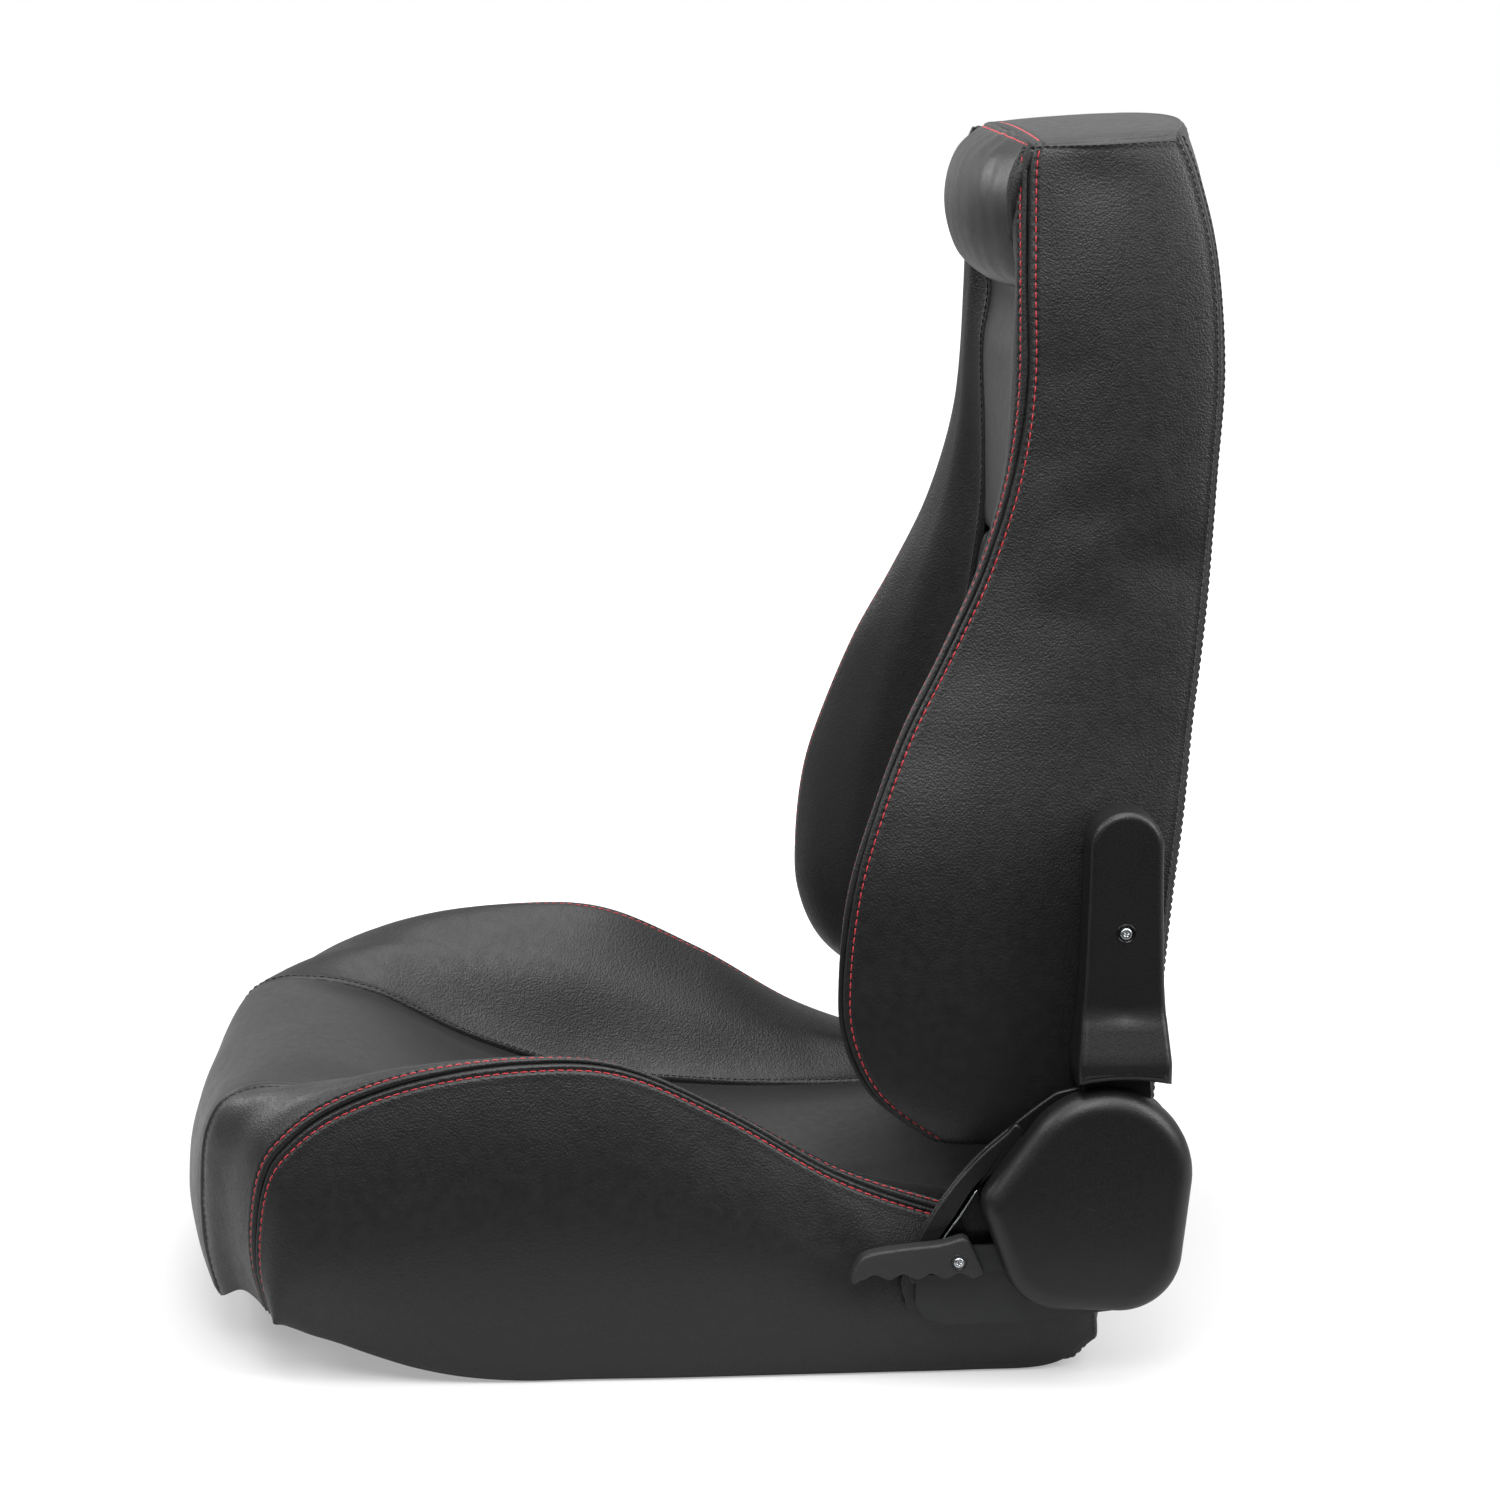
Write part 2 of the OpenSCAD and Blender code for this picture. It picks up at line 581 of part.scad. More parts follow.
hoop_path = [
    [hoop_x, arm_y, pivot[1] + 40], [hoop_x, arm_y, arm_bolt_z[1] - 50],
    [hoop_x, arm_y, arm_bolt_z[1] + 10], [hoop_x, arm_y, arm_bolt_z[1] + 24],
    [hoop_x - 34, pivot[0] + 34 * kt, pivot[1] + 370 * kh],
    [hoop_x - 60, pivot[0] + 48 * kt, pivot[1] + 530 * kh],
    [hoop_x - 76, pivot[0] + 44 * kt, pivot[1] + 620 * kh],
    [hoop_x - 112, pivot[0] + 38 * kt, pivot[1] + 650 * kh],
    [0, pivot[0] + 38 * kt, pivot[1] + 654 * kh]];

hoop_half = [for (t = steps(0, len(hoop_path) - 1, 24)) spline(hoop_path, t)];

module back_hoop() color(painted) difference() {
    tube(concat(hoop_half, [for (i = [len(hoop_half) - 2:-1:0]) flip(hoop_half[i])]),
         hoop_d / 2, tube_wall, 14, [0, 1, 0]);
    for (side = [-1, 1], z = arm_bolt_z) pair(side)
        bar([arm_y, z], bolt_r + bolt_play, hoop_x - hoop_d, hoop_x + hoop_d);
}

back_tube_z = [pivot[1] + 84, pivot[1] + 470 * kh];
lower_half = hoop_x - 0.5 - hoop_d / 2;
upper_half = hoop_x - 50 - hoop_d / 2;

module back_tube(y, z, half) color(painted) difference() {
    bar([y, z], 8, -half, half);
    bar([y, z], 8 - tube_wall, -half - 1, half + 1);
}
module lower_back_tube() back_tube(arm_y, back_tube_z[0], lower_half - 1);
module upper_back_tube() back_tube(pivot[0] + 42 * kt, back_tube_z[1], upper_half - 3);

module back_springs() color(zinc) for (i = [-1:1]) {
    y0 = arm_y - 10;
    y1 = pivot[0] + 42 * kt - 10;
    length = back_tube_z[1] - back_tube_z[0];
    wire(zigzag([i * 66, y0, back_tube_z[0]], [0, (y1 - y0) / length, 1], [1, 0, 0], length, 18, 11),
         1.7, 5, [0, 1, 0]);
}

function foam_back(z) = let (h = (z - pivot[1]) / kh)
    pivot[0] + lookup(h, [[0, -14], [232, -12], [370, 14 * kt], [540, 28 * kt], [700, 26 * kt]]);

module back_foam() color(foam) {
    us = steps(0.25, insert_end, 20);
    vs = steps(-crest_v, crest_v, 16);
    depth = cover_t + 5;
    slab([for (u = us) [for (v = vs) below(rest_rails, u, v, depth)]],
         [for (u = us) [for (v = vs) let (p = below(rest_rails, u, v, depth))
             [p[0] * 0.985, foam_back(p[2]), p[2]]]]);
}

module headrest_foam() color(foam) {
    us = steps(0.6, 6.9, 9);
    vs = steps(-1.9, 1.9, 8);
    depth = cover_t + 1;
    slab([for (u = us) [for (v = vs) below(head_rails, u, v, depth)]],
         [for (u = us) [for (v = vs) let (p = below(head_rails, u, v, depth))
             [p[0] * 0.96, foam_back(p[2]), p[2]]]]);
}

// ---------- backrest covers ----------

module back_insert_lower() color(vinyl)
    cover(rest_rails, steps(0, insert_split - split, 14), steps(-seam_v + split, seam_v - split, 8));
module back_insert_upper() color(vinyl)
    cover(rest_rails, steps(insert_split + split, insert_end, 6), steps(-seam_v + split, seam_v - split, 8));

module wing_cover()
    cover(rest_rails, steps(0, rest_end - 0.5, 25), steps(seam_v + split, crest_v - split, 4));
module wing_cover_left() color(vinyl) wing_cover();
module wing_cover_right() color(vinyl) mirror([1, 0, 0]) wing_cover();

module back_side_cover() difference() {
    cover(rest_rails, steps(0, rest_end, 26), steps(crest_v + split, hem_v, 5));
    for (z = arm_bolt_z) bar([arm_y, z], 10, 200, side_x + 10);
}
module back_side_cover_left() color(vinyl) back_side_cover();
module back_side_cover_right() color(vinyl) mirror([1, 0, 0]) back_side_cover();

module headrest_cover() color(vinyl)
    cover(head_rails, steps(0, 7, 12), steps(-2, 2, 12));

// The top cover is bowed up and back between the side covers
module back_top_cover() color(vinyl) {
    half = rest_crest[rest_end][0] - cover_t - 2;
    front = pivot[0] - 38 * kt;
    z_at = function(k, t) pivot[1] + (712 + 6 * t + 4 * (1 - k * k)) * kh;
    y_at = function(k, t) front + (48 + 46 * t + 24 * (1 - k * k) * t) * kt * t;
    ts = steps(0, 1, 5);
    ks = steps(-1, 1, 8);
    outer = [for (t = ts) [for (k = ks) [half * k, y_at(k, t), z_at(k, t)]]];
    slab(outer, [for (r = outer) [for (p = r) p - [0, 0, cover_t]]]);
}

module back_rear_cover() color(vinyl) {
    us = steps(0, rest_end - 0.4, 22);
    ks = steps(-1, 1, 8);
    outer = [for (u = us) [for (k = ks) let (p = spline(rest_rear, u))
        [-(p[0] - cover_t - 2) * k, p[1] + rear_bow * (1 - k * k), p[2]]]];
    slab(outer, [for (r = outer) [for (p = r) p - [0, cover_t, 0]]]);
}

// ---------- backrest arms ----------

arm_h = arm_bolt_z[1] - pivot[1] + 28;     // top of the arm plates above the pivot

module arm_plate() plate(upper_x, plate_t) difference() {
    translate(pivot) polygon(concat(teeth(sector_r, 178, 362, tooth_n), [
        [36, 6], [34, 44], [30, 100], [30, arm_h - 10], [22, arm_h],
        [2, arm_h], [-6, arm_h - 10], [-6, 100], [-12, 84], [-16, 44], [-34, 6]]));
    translate(pivot) circle(r = pivot_r + run);
    for (z = arm_bolt_z) translate([arm_y, z]) circle(r = bolt_r + bolt_play);
    translate([arm_y, arm_screw_z]) circle(r = 2.2);
}
module arm_plate_left() color(painted) arm_plate();
module arm_plate_right() color(painted) mirror([1, 0, 0]) arm_plate();

module arm_spacers() color(zinc) for (side = [-1, 1], z = arm_bolt_z) pair(side)
    difference() {
        bar([arm_y, z], 8, hoop_x + hoop_d / 2 + 1.5, upper_x);
        bar([arm_y, z], bolt_r + bolt_play, hoop_x, upper_x + 1);
    }

module arm_bolts() color(zinc) for (side = [-1, 1], z = arm_bolt_z) pair(side) {
    bar([arm_y, z], bolt_r, hoop_x - hoop_d / 2 - 8, upper_x + plate_t + eps);
    hex([arm_y, z], 7, hoop_x - hoop_d / 2 - 7, hoop_x - hoop_d / 2 - 0.5);
    hex([arm_y, z], 7, upper_x + plate_t, upper_x + plate_t + bolt_head_t);
}

arm_cover_x = [side_x - 12, upper_x + plate_t + bolt_head_t + 4];

// The arm cover is a long cap that steps outwards above the recliner's shell
module arm_cap(inset, x0, x1) hull() {
    translate([0, arm_y, arm_bolt_z[1] + 8]) puck(26 - inset, x0, x1, 5);
    translate([0, arm_y, pivot[1] + 112]) for (s = [-1, 1]) translate([0, s * (28 - inset - 6), 0])
        puck(6, x0, x1, 4);
}

module arm_cover() difference() {
    union() {
        arm_cap(0, arm_cover_x[0], arm_cover_x[1]);
        skirt(0, arm_cover_x[0]);
    }
    arm_cap(2.5, arm_cover_x[0] - 1, arm_cover_x[1] - 2.5);
    skirt(2.5, arm_cover_x[0] - 1);
    // The bottom follows the swing of the arm over the recliner's shell
    bar(pivot, 66, arm_cover_x[0] - 2, shell_top + 10);
    bar([arm_y, arm_screw_z], 6, arm_cover_x[1] - 1, arm_cover_x[1] + 1);
    bar([arm_y, arm_screw_z], 2.2, arm_cover_x[1] - 5, arm_cover_x[1] + 1);
}

// The lower part of the arm cover, which leans out to the shell's face
module skirt(inset, x0) hull() {
    plate(x0, arm_cover_x[1] - inset - x0) translate([arm_y - 28 + inset, pivot[1] + 112])
        square([56 - 2 * inset, 8]);
    plate(x0, shell_top - 4 - inset - x0) translate([arm_y - 33 + inset, pivot[1] + 40])
        square([66 - 2 * inset, 42]);
}
module arm_cover_left() color(abs_black) arm_cover();
module arm_cover_right() color(abs_black) mirror([1, 0, 0]) arm_cover();

module arm_cover_screws() color(zinc) for (side = [-1, 1]) pair(side) {
    bar([arm_y, arm_screw_z], 2, upper_x + 0.5, arm_cover_x[1] - 1);
    difference() {
        bar([arm_y, arm_screw_z], 4.4, arm_cover_x[1] - 1, arm_cover_x[1] + 1.2);
        for (a = [0, 90]) translate([arm_cover_x[1] + 0.2, arm_y, arm_screw_z])
            rotate([a + 35, 0, 0]) translate([0, -2.4, -0.45]) cube([3, 4.8, 0.9]);
    }
}

mounting_feet();
rail_left();
rail_right();
front_cross_tube();
rear_cross_tube();
side_bracket_left();
side_bracket_right();
seat_springs();
cushion_foam();
cushion_insert_cover();
cushion_bolster_cover_left();
cushion_bolster_cover_right();
cushion_side_cover_left();
cushion_side_cover_right();
cushion_rear_cover();
recliner_plate_left();
recliner_plate_right();
recliner_spacers();
recliner_bolts();
pivot_pins();
pawl_pins();
backing_cover_left();
backing_cover_right();
outer_cover_left();
outer_cover_right();
spiral_spring_left();
spiral_spring_right();
lever_spring();
lever_arm();
lever_grip();
grip_screw();
release_shaft();
release_cams();
pawl_left();
pawl_right();
back_hoop();
lower_back_tube();
upper_back_tube();
back_springs();
back_foam();
headrest_foam();
back_insert_lower();
back_insert_upper();
headrest_cover();
wing_cover_left();
wing_cover_right();
back_side_cover_left();
back_side_cover_right();
back_top_cover();
back_rear_cover();
arm_plate_left();
arm_plate_right();
arm_cover_left();
arm_cover_right();
arm_spacers();
arm_bolts();
arm_cover_screws();
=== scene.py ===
import math
import bpy
import bmesh
import numpy as np
from mathutils import Matrix, Vector


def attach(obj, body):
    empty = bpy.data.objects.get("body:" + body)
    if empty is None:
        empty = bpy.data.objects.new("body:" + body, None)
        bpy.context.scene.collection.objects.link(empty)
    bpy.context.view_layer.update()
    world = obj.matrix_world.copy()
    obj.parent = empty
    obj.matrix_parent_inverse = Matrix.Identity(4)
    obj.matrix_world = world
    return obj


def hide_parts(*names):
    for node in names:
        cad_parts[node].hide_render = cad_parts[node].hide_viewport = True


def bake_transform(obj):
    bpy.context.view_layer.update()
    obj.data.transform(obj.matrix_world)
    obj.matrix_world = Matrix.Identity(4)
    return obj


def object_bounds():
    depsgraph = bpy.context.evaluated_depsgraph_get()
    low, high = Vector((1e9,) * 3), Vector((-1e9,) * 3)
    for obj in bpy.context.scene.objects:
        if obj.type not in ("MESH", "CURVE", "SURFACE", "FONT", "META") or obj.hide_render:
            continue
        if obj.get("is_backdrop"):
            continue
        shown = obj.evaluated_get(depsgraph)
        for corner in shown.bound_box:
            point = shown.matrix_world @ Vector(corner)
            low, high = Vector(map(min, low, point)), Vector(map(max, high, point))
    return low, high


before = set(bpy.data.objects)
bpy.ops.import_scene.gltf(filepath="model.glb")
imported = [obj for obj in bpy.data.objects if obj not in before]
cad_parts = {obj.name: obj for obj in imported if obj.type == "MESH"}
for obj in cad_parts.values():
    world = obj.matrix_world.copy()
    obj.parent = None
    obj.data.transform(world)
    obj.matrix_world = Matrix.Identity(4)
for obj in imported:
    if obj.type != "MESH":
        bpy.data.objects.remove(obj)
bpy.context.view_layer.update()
print("frame loaded")

mm = 0.001
pivot = np.array([279.0, 158.0])      # recline axis, [y, z] in mm
shaft = pivot + [-47, -36]            # release shaft's axis


def colour(hexCode):
    parts = [int(hexCode[i:i + 2], 16) / 255 for i in (1, 3, 5)]
    return tuple(c / 12.92 if c <= 0.04045 else ((c + 0.055) / 1.055) ** 2.4 for c in parts) + (1.0,)


def addNode(tree, kind, inputs=None, out=0, **settings):   # gives back the output of this number or name
    node = tree.nodes.new(kind)
    for name, value in settings.items():
        setattr(node, name, value)
    for name, value in (inputs or {}).items():
        if isinstance(value, bpy.types.NodeSocket):
            tree.links.new(value, node.inputs[name])
        else:
            node.inputs[name].default_value = value
    return node.outputs if out is None else node.outputs[out]


def linkObject(name, data):          # puts a mesh, a lamp or a camera in the scene
    thing = bpy.data.objects.new(name, data)
    bpy.context.scene.collection.objects.link(thing)
    return thing


def mount(piece, body, node=None):   # what it moves with, and the CAD node it stands in for
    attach(piece, body)
    if node:
        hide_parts(node)


def startMaterial(name, settings):
    material = bpy.data.materials.new(name)
    material.use_nodes = True
    tree = material.node_tree
    for socket, value in settings.items():
        tree.nodes["Principled BSDF"].inputs[socket].default_value = value
    return material, tree, addNode(tree, "ShaderNodeTexCoord", out="Object")


def dressMaterial(tree, tone, darkHex, lightHex, shine=None, relief=None, under=None):
    # the shader's colour, and its shine and relief where it has them
    shader = tree.nodes["Principled BSDF"].inputs
    shades = {0: tone, 6: colour(darkHex), 7: colour(lightHex)}
    tree.links.new(addNode(tree, "ShaderNodeMix", shades, 2, data_type="RGBA"), shader["Base Color"])
    if shine:
        source, low, high = shine
        rough = addNode(tree, "ShaderNodeMapRange", {"Value": source, 1: 0.3, 2: 0.7, 3: low, 4: high})
        tree.links.new(rough, shader["Roughness"])
    if relief:
        height, depth, strength = relief
        bumps = {"Height": height, "Distance": depth * mm, "Strength": strength, **(under or {})}
        tree.links.new(addNode(tree, "ShaderNodeBump", bumps), shader["Normal"])


vinylLook = {
    "grainSize": 1.5,        # mm between pebbles; the real 0.8 mm would not show, so it is drawn coarser
    "darkHex": "#0d0d0e",
    "lightHex": "#18181a",
    "insertLightHex": "#1b1b1d",
    "pitch": 6.5,            # mm between stitches, for the pucker beside each one
    "thick": 2.0,            # mm, with its backing
}


def makeVinyl(name, grain, grainHeight, lightHex, rough):
    # PVC leathercloth: pebble grain under a satin lacquer, so highlights are broad and slightly broken
    material, tree, place = startMaterial(name, {"IOR": 1.5, "Coat Weight": 0.06, "Coat Roughness": 0.3,
                                                 "Sheen Weight": 0.04, "Sheen Roughness": 0.4})
    cells = {"Vector": place, "Scale": 1000 / grain, "Randomness": 0.9}
    pebbles = addNode(tree, "ShaderNodeTexVoronoi", cells, feature="SMOOTH_F1")
    fine = addNode(tree, "ShaderNodeTexNoise", {"Vector": place, "Scale": 2600 / grain, "Detail": 2.0})
    broad = addNode(tree, "ShaderNodeTexNoise", {"Vector": place, "Scale": 9.0, "Detail": 3.0})
    mottle = addNode(tree, "ShaderNodeTexNoise", {"Vector": place, "Scale": 120.0, "Detail": 3.0})
    tops = addNode(tree, "ShaderNodeMapRange", {"Value": pebbles, 1: 0.15, 2: 0.65, 3: 1.0, 4: 0.0})
    tone = addNode(tree, "ShaderNodeMath", {0: tops, 1: broad}, operation="MULTIPLY")
    shineRange = {"Value": mottle, 1: 0.3, 2: 0.7, 3: rough + 0.01, 4: rough + 0.1}
    dull = addNode(tree, "ShaderNodeMapRange", shineRange)
    polished = addNode(tree, "ShaderNodeMath", {0: tops, 1: -0.08, 2: dull}, operation="MULTIPLY_ADD")
    tree.links.new(polished, tree.nodes["Principled BSDF"].inputs["Roughness"])
    height = addNode(tree, "ShaderNodeMath", {0: fine, 1: 0.25, 2: tops}, operation="MULTIPLY_ADD")
    grains = {"Height": height, "Distance": grainHeight * mm, "Strength": 0.7}
    grained = addNode(tree, "ShaderNodeBump", grains)
    seam = addNode(tree, "ShaderNodeUVMap", uv_map="seam")
    along, away, _ = addNode(tree, "ShaderNodeSeparateXYZ", {"Vector": seam}, None)
    perMetre = 2000 * math.pi / vinylLook["pitch"]
    turns = addNode(tree, "ShaderNodeMath", {0: along, 1: perMetre}, operation="MULTIPLY")
    wave = addNode(tree, "ShaderNodeMath", {0: turns}, operation="COSINE")
    past = addNode(tree, "ShaderNodeMath", {0: away, 1: 6 * mm}, operation="SUBTRACT")
    off = addNode(tree, "ShaderNodeMath", {0: past}, operation="ABSOLUTE")
    near = addNode(tree, "ShaderNodeMapRange", {"Value": off, 1: 0, 2: 3.2 * mm, 3: 1, 4: 0})
    pull = addNode(tree, "ShaderNodeMath", {0: wave, 1: near}, operation="MULTIPLY")
    dressMaterial(tree, tone, vinylLook["darkHex"], lightHex, None, (pull, 0.25, 0.8), {"Normal": grained})
    return material


def makeThread(name, darkHex, lightHex):
    # bonded polyester sewing thread: twisted, with a soft shine along it
    material, tree, place = startMaterial(name, {"IOR": 1.5, "Sheen Weight": 0.25, "Roughness": 0.55})
    twist = addNode(tree, "ShaderNodeTexNoise", {"Vector": place, "Scale": 2400.0, "Detail": 1.0})
    dressMaterial(tree, twist, darkHex, lightHex, None, (twist, 0.15, 0.6))
    return material


def makeMoulded(name, darkHex, lightHex, rough, grain, height):
    # moulded plastic from a spark-eroded tool: fine random texture, duller on its flats than on its edges
    material, tree, place = startMaterial(name, {"IOR": 1.5})
    sparks = {"Vector": place, "Scale": 1000 / grain, "Detail": 3.0, "Roughness": 0.6}
    spark = addNode(tree, "ShaderNodeTexNoise", sparks)
    broad = addNode(tree, "ShaderNodeTexNoise", {"Vector": place, "Scale": 22.0, "Detail": 2.0})
    dressMaterial(tree, broad, darkHex, lightHex, (spark, rough - 0.05, rough + 0.07), (spark, height, 0.8))
    return material


def makePaintedSteel():
    # pressed steel under satin black electrocoat: slight orange peel, thin on its edges
    material, tree, place = startMaterial("satinBlackElectrocoat", {"IOR": 1.5, "Metallic": 0.0})
    peel = addNode(tree, "ShaderNodeTexNoise", {"Vector": place, "Scale": 420.0, "Detail": 2.0})
    broad = addNode(tree, "ShaderNodeTexNoise", {"Vector": place, "Scale": 30.0, "Detail": 4.0})
    dressMaterial(tree, broad, "#0f1011", "#1c1d1f", (broad, 0.33, 0.46), (peel, 0.05, 0.5))
    return material


def makeZinc():
    # bright zinc-plated steel: metallic, faintly clouded, with fine drawing marks
    material, tree, place = startMaterial("brightZincPlate", {"Metallic": 1.0})
    cloud = addNode(tree, "ShaderNodeTexNoise", {"Vector": place, "Scale": 160.0, "Detail": 3.0})
    drawn = addNode(tree, "ShaderNodeMapping", {"Vector": place, "Scale": (300.0, 3000.0, 3000.0)})
    marks = addNode(tree, "ShaderNodeTexNoise", {"Vector": drawn, "Scale": 1.0, "Detail": 2.0})
    dressMaterial(tree, cloud, "#a9adb1", "#cfd2d4", (cloud, 0.24, 0.36), (marks, 0.02, 0.5))
    return material


def makeFoam():
    # charcoal polyurethane foam: a matt skin with small open cells
    material, tree, place = startMaterial("mouldedSeatFoam",
                                         {"IOR": 1.4, "Roughness": 0.9, "Sheen Weight": 0.2})
    cells = addNode(tree, "ShaderNodeTexVoronoi", {"Vector": place, "Scale": 420.0}, feature="F1")
    stain = addNode(tree, "ShaderNodeTexNoise", {"Vector": place, "Scale": 12.0, "Detail": 4.0})
    dressMaterial(tree, stain, "#2a2a2b", "#3a3a3b", None, (cells, 0.8, 0.6))
    return material


sideVinyl = makeVinyl("pebbledVinyl", vinylLook["grainSize"], 0.22, vinylLook["lightHex"], 0.44)
insertVinyl = makeVinyl("smoothVinyl", vinylLook["grainSize"] * 0.8, 0.07, vinylLook["insertLightHex"], 0.40)
redThread = makeThread("redPolyesterThread", "#9c1622", "#d03640")
blackThread = makeThread("blackPolyesterThread", "#0a0a0a", "#1e1e1e")
coverPlastic = makeMoulded("sparkErodedAbs", "#0e0e0f", "#151516", 0.40, 1.5, 0.20)
# nearly black glossy plastic: painted shade for the screw wells and the backing's recess
paintedShadePlastic = makeMoulded("paintedShadeAbs", "#020202", "#050505", 0.28, 1.1, 0.02)
gripPlastic = makeMoulded("coarsePolypropylene", "#1b1b1c", "#272728", 0.55, 1.6, 0.35)
paintedSteel = makePaintedSteel()
zincSteel = makeZinc()
seatFoam = makeFoam()


def asPoints(*parts):                # columns of numbers side by side, as points
    return np.stack(np.broadcast_arrays(*parts), axis=-1)


def smoothBetween(a, b, c, d, t):    # from b at t = 0 to c at t = 1, with a and d as their neighbours
    return (2 * b + (c - a) * t + (2 * a - 5 * b + 4 * c - d) * t ** 2 + (3 * b - a - 3 * c + d) * t ** 3) / 2


def splineAt(points, s):             # a smooth curve through control points, at positions s along them
    s = np.asarray(s, float)
    last = len(points) - 1
    i = np.clip(s.astype(int), 0, last - 1)
    t = (s - i).reshape(s.shape + (1,) * (points.ndim - 1))
    return smoothBetween(*(points[np.clip(i + k, 0, last)] for k in (-1, 0, 1, 2)), t)


def acrossRows(rows, vs, mirrored=True):   # rows is (nu, n, 3); vs is (nu, nv) positions across each row
    away = np.abs(vs) if mirrored else vs
    last = rows.shape[1] - 1
    i = np.clip(away.astype(int), 0, last - 1)
    t = (away - i)[..., None]
    r = np.arange(len(rows))[:, None]
    a, b, c, d = (rows[r, np.clip(i + k, 0, last)] for k in (-1, 0, 1, 2))
    if mirrored:                     # the centre rail's neighbour is the mirror image of the next one
        a = np.where((i == 0)[..., None], rows[:, 1][:, None] * [-1, 1, 1], a)
    p = smoothBetween(a, b, c, d, t)
    if mirrored:
        p[..., 0] *= np.where(vs < 0, -1, 1)
    return p


def lengthAlong(points, axis=0):
    steps = np.linalg.norm(np.diff(points, axis=axis), axis=-1)
    start = np.zeros_like(np.take(steps, [0], axis=axis))
    return np.concatenate([start, np.cumsum(steps, axis=axis)], axis=axis)


def gridNormals(points):
    along = np.gradient(points, axis=0)
    across = np.gradient(points, axis=1)
    n = np.cross(across, along)
    return n / np.maximum(np.linalg.norm(n, axis=-1, keepdims=True), 1e-9)


def spacing(length, fromStart, fromEnd, cell):   # places along lines, close together at both ends
    length = np.atleast_1d(np.asarray(length, float))
    a, b = np.array(fromStart, float), np.array(fromEnd, float)
    squeeze = np.minimum(1, 0.85 * length / (a[-1] + b[-1]))[:, None]
    count = max(3, int(round((np.median(length) - a[-1] - b[-1]) / cell)))
    left, right = a * squeeze, length[:, None] - b[::-1] * squeeze
    middle = left[:, -1:] + (right[:, :1] - left[:, -1:]) * np.linspace(0, 1, count + 2)[1:-1]
    return np.concatenate([left, middle, right], axis=1)


def rail(x, yz, origin=(0, 0)):
    xs = np.broadcast_to(x, len(yz))
    return np.array([[xs[i], y + origin[0], z + origin[1]] for i, (y, z) in enumerate(yz)], float)


def between(a, b, k, out):
    return a + (b - a) * k + np.array(out, float)


def towardsSeam(centre, seam, k=(0.5, 0.25)):
    r = centre + (seam - centre) * k[1]
    r[:, 0] = seam[:, 0] * k[0]
    return r


# the cushion: each rail runs from the front hem up the nose and back along the top
seatCentre = rail(0, [
    (-366, 34), (-379, 75), (-378, 120), (-366, 160), (-342, 189), (-300, 200), (-238, 184),
    (-165, 149), (-80, 121), (20, 107), (110, 104), (190, 106), (240, 102), (276, 88)])
seatSeam = rail(148, [
    (-352, 38), (-361, 80), (-362, 122), (-357, 165), (-340, 190), (-303, 197), (-245, 184),
    (-170, 146), (-80, 116), (20, 104), (110, 102), (190, 104), (240, 100), (276, 86)])
seatCrest = rail([218, 221, 223, 225, 226, 227, 228, 228, 228, 228, 227, 226, 225, 224], [
    (-311, 50), (-318, 80), (-318, 115), (-311, 152), (-296, 175), (-262, 201), (-205, 222),
    (-130, 233), (-60, 229), (15, 195), (92, 149), (165, 121), (225, 106), (276, 88)])
seatHem = rail([224, 229, 233, 236, 238, 239, 240, 240, 240, 239, 238, 237, 236, 234], [
    (-301, 42), (-285, 36), (-262, 30), (-235, 21), (-205, 12), (-170, 5), (-130, 1.5),
    (-85, 1.5), (-30, 1.5), (40, 1.5), (115, 1.5), (190, 1.5), (248, 4), (284, 24)])
seatRails = [seatCentre, towardsSeam(seatCentre, seatSeam), seatSeam,
             between(seatSeam, seatCrest, 0.55, (-4.5, -2, 9)), seatCrest,
             between(seatCrest, seatHem, 0.45, (13, 0, 0)), seatHem]
seatEnd = len(seatCentre) - 1

# the backrest: each rail runs from the bottom to the top, measured from the recline axis
restCentre = rail(0, [
    (-84, 14), (-87, 47), (-86, 87), (-82, 132), (-74, 192), (-66, 244), (-57, 302), (-48, 358),
    (-42, 418), (-41, 482), (-42, 545), (-34, 596), (-84, 662), (-50, 714)], pivot)
restSeam = rail([132, 133, 134, 134, 133, 131, 129, 127, 125, 124, 122, 126, 145, 148], [
    (-88, 14), (-91, 47), (-89, 87), (-83, 132), (-76, 192), (-69, 244), (-60, 302), (-51, 358),
    (-44, 418), (-44, 482), (-46, 545), (-41, 594), (-57, 662), (-41, 708)], pivot)
restCrest = rail([224, 224, 223, 222, 219, 212, 200, 190, 183, 178, 173, 165, 155, 152], [
    (-111, 10), (-157, 45), (-178, 87), (-181, 132), (-174, 192), (-159, 244), (-136, 302),
    (-107, 358), (-79, 418), (-59, 482), (-50, 547), (-50, 622), (-49, 692), (-45, 710)], pivot)
restRear = rail([226, 227, 228, 228, 224, 216, 205, 196, 188, 182, 176, 168, 160, 156], [
    (39, 14), (41, 47), (43, 87), (46, 132), (52, 192), (59, 244), (66, 302), (73, 358),
    (79, 418), (84, 482), (88, 555), (83, 632), (70, 687), (57, 718)], pivot)
restRails = [restCentre, towardsSeam(restCentre, restSeam), restSeam,
             between(restSeam, restCrest, 0.55, (-4.5, -9, 0)), restCrest,
             between(restCrest, restRear, 0.45, (9, 0, 0)), restRear]
restEnd = len(restCentre) - 1
insertSplit, insertTop = 7.7, 11     # where the two inserts meet, and where the headrest starts

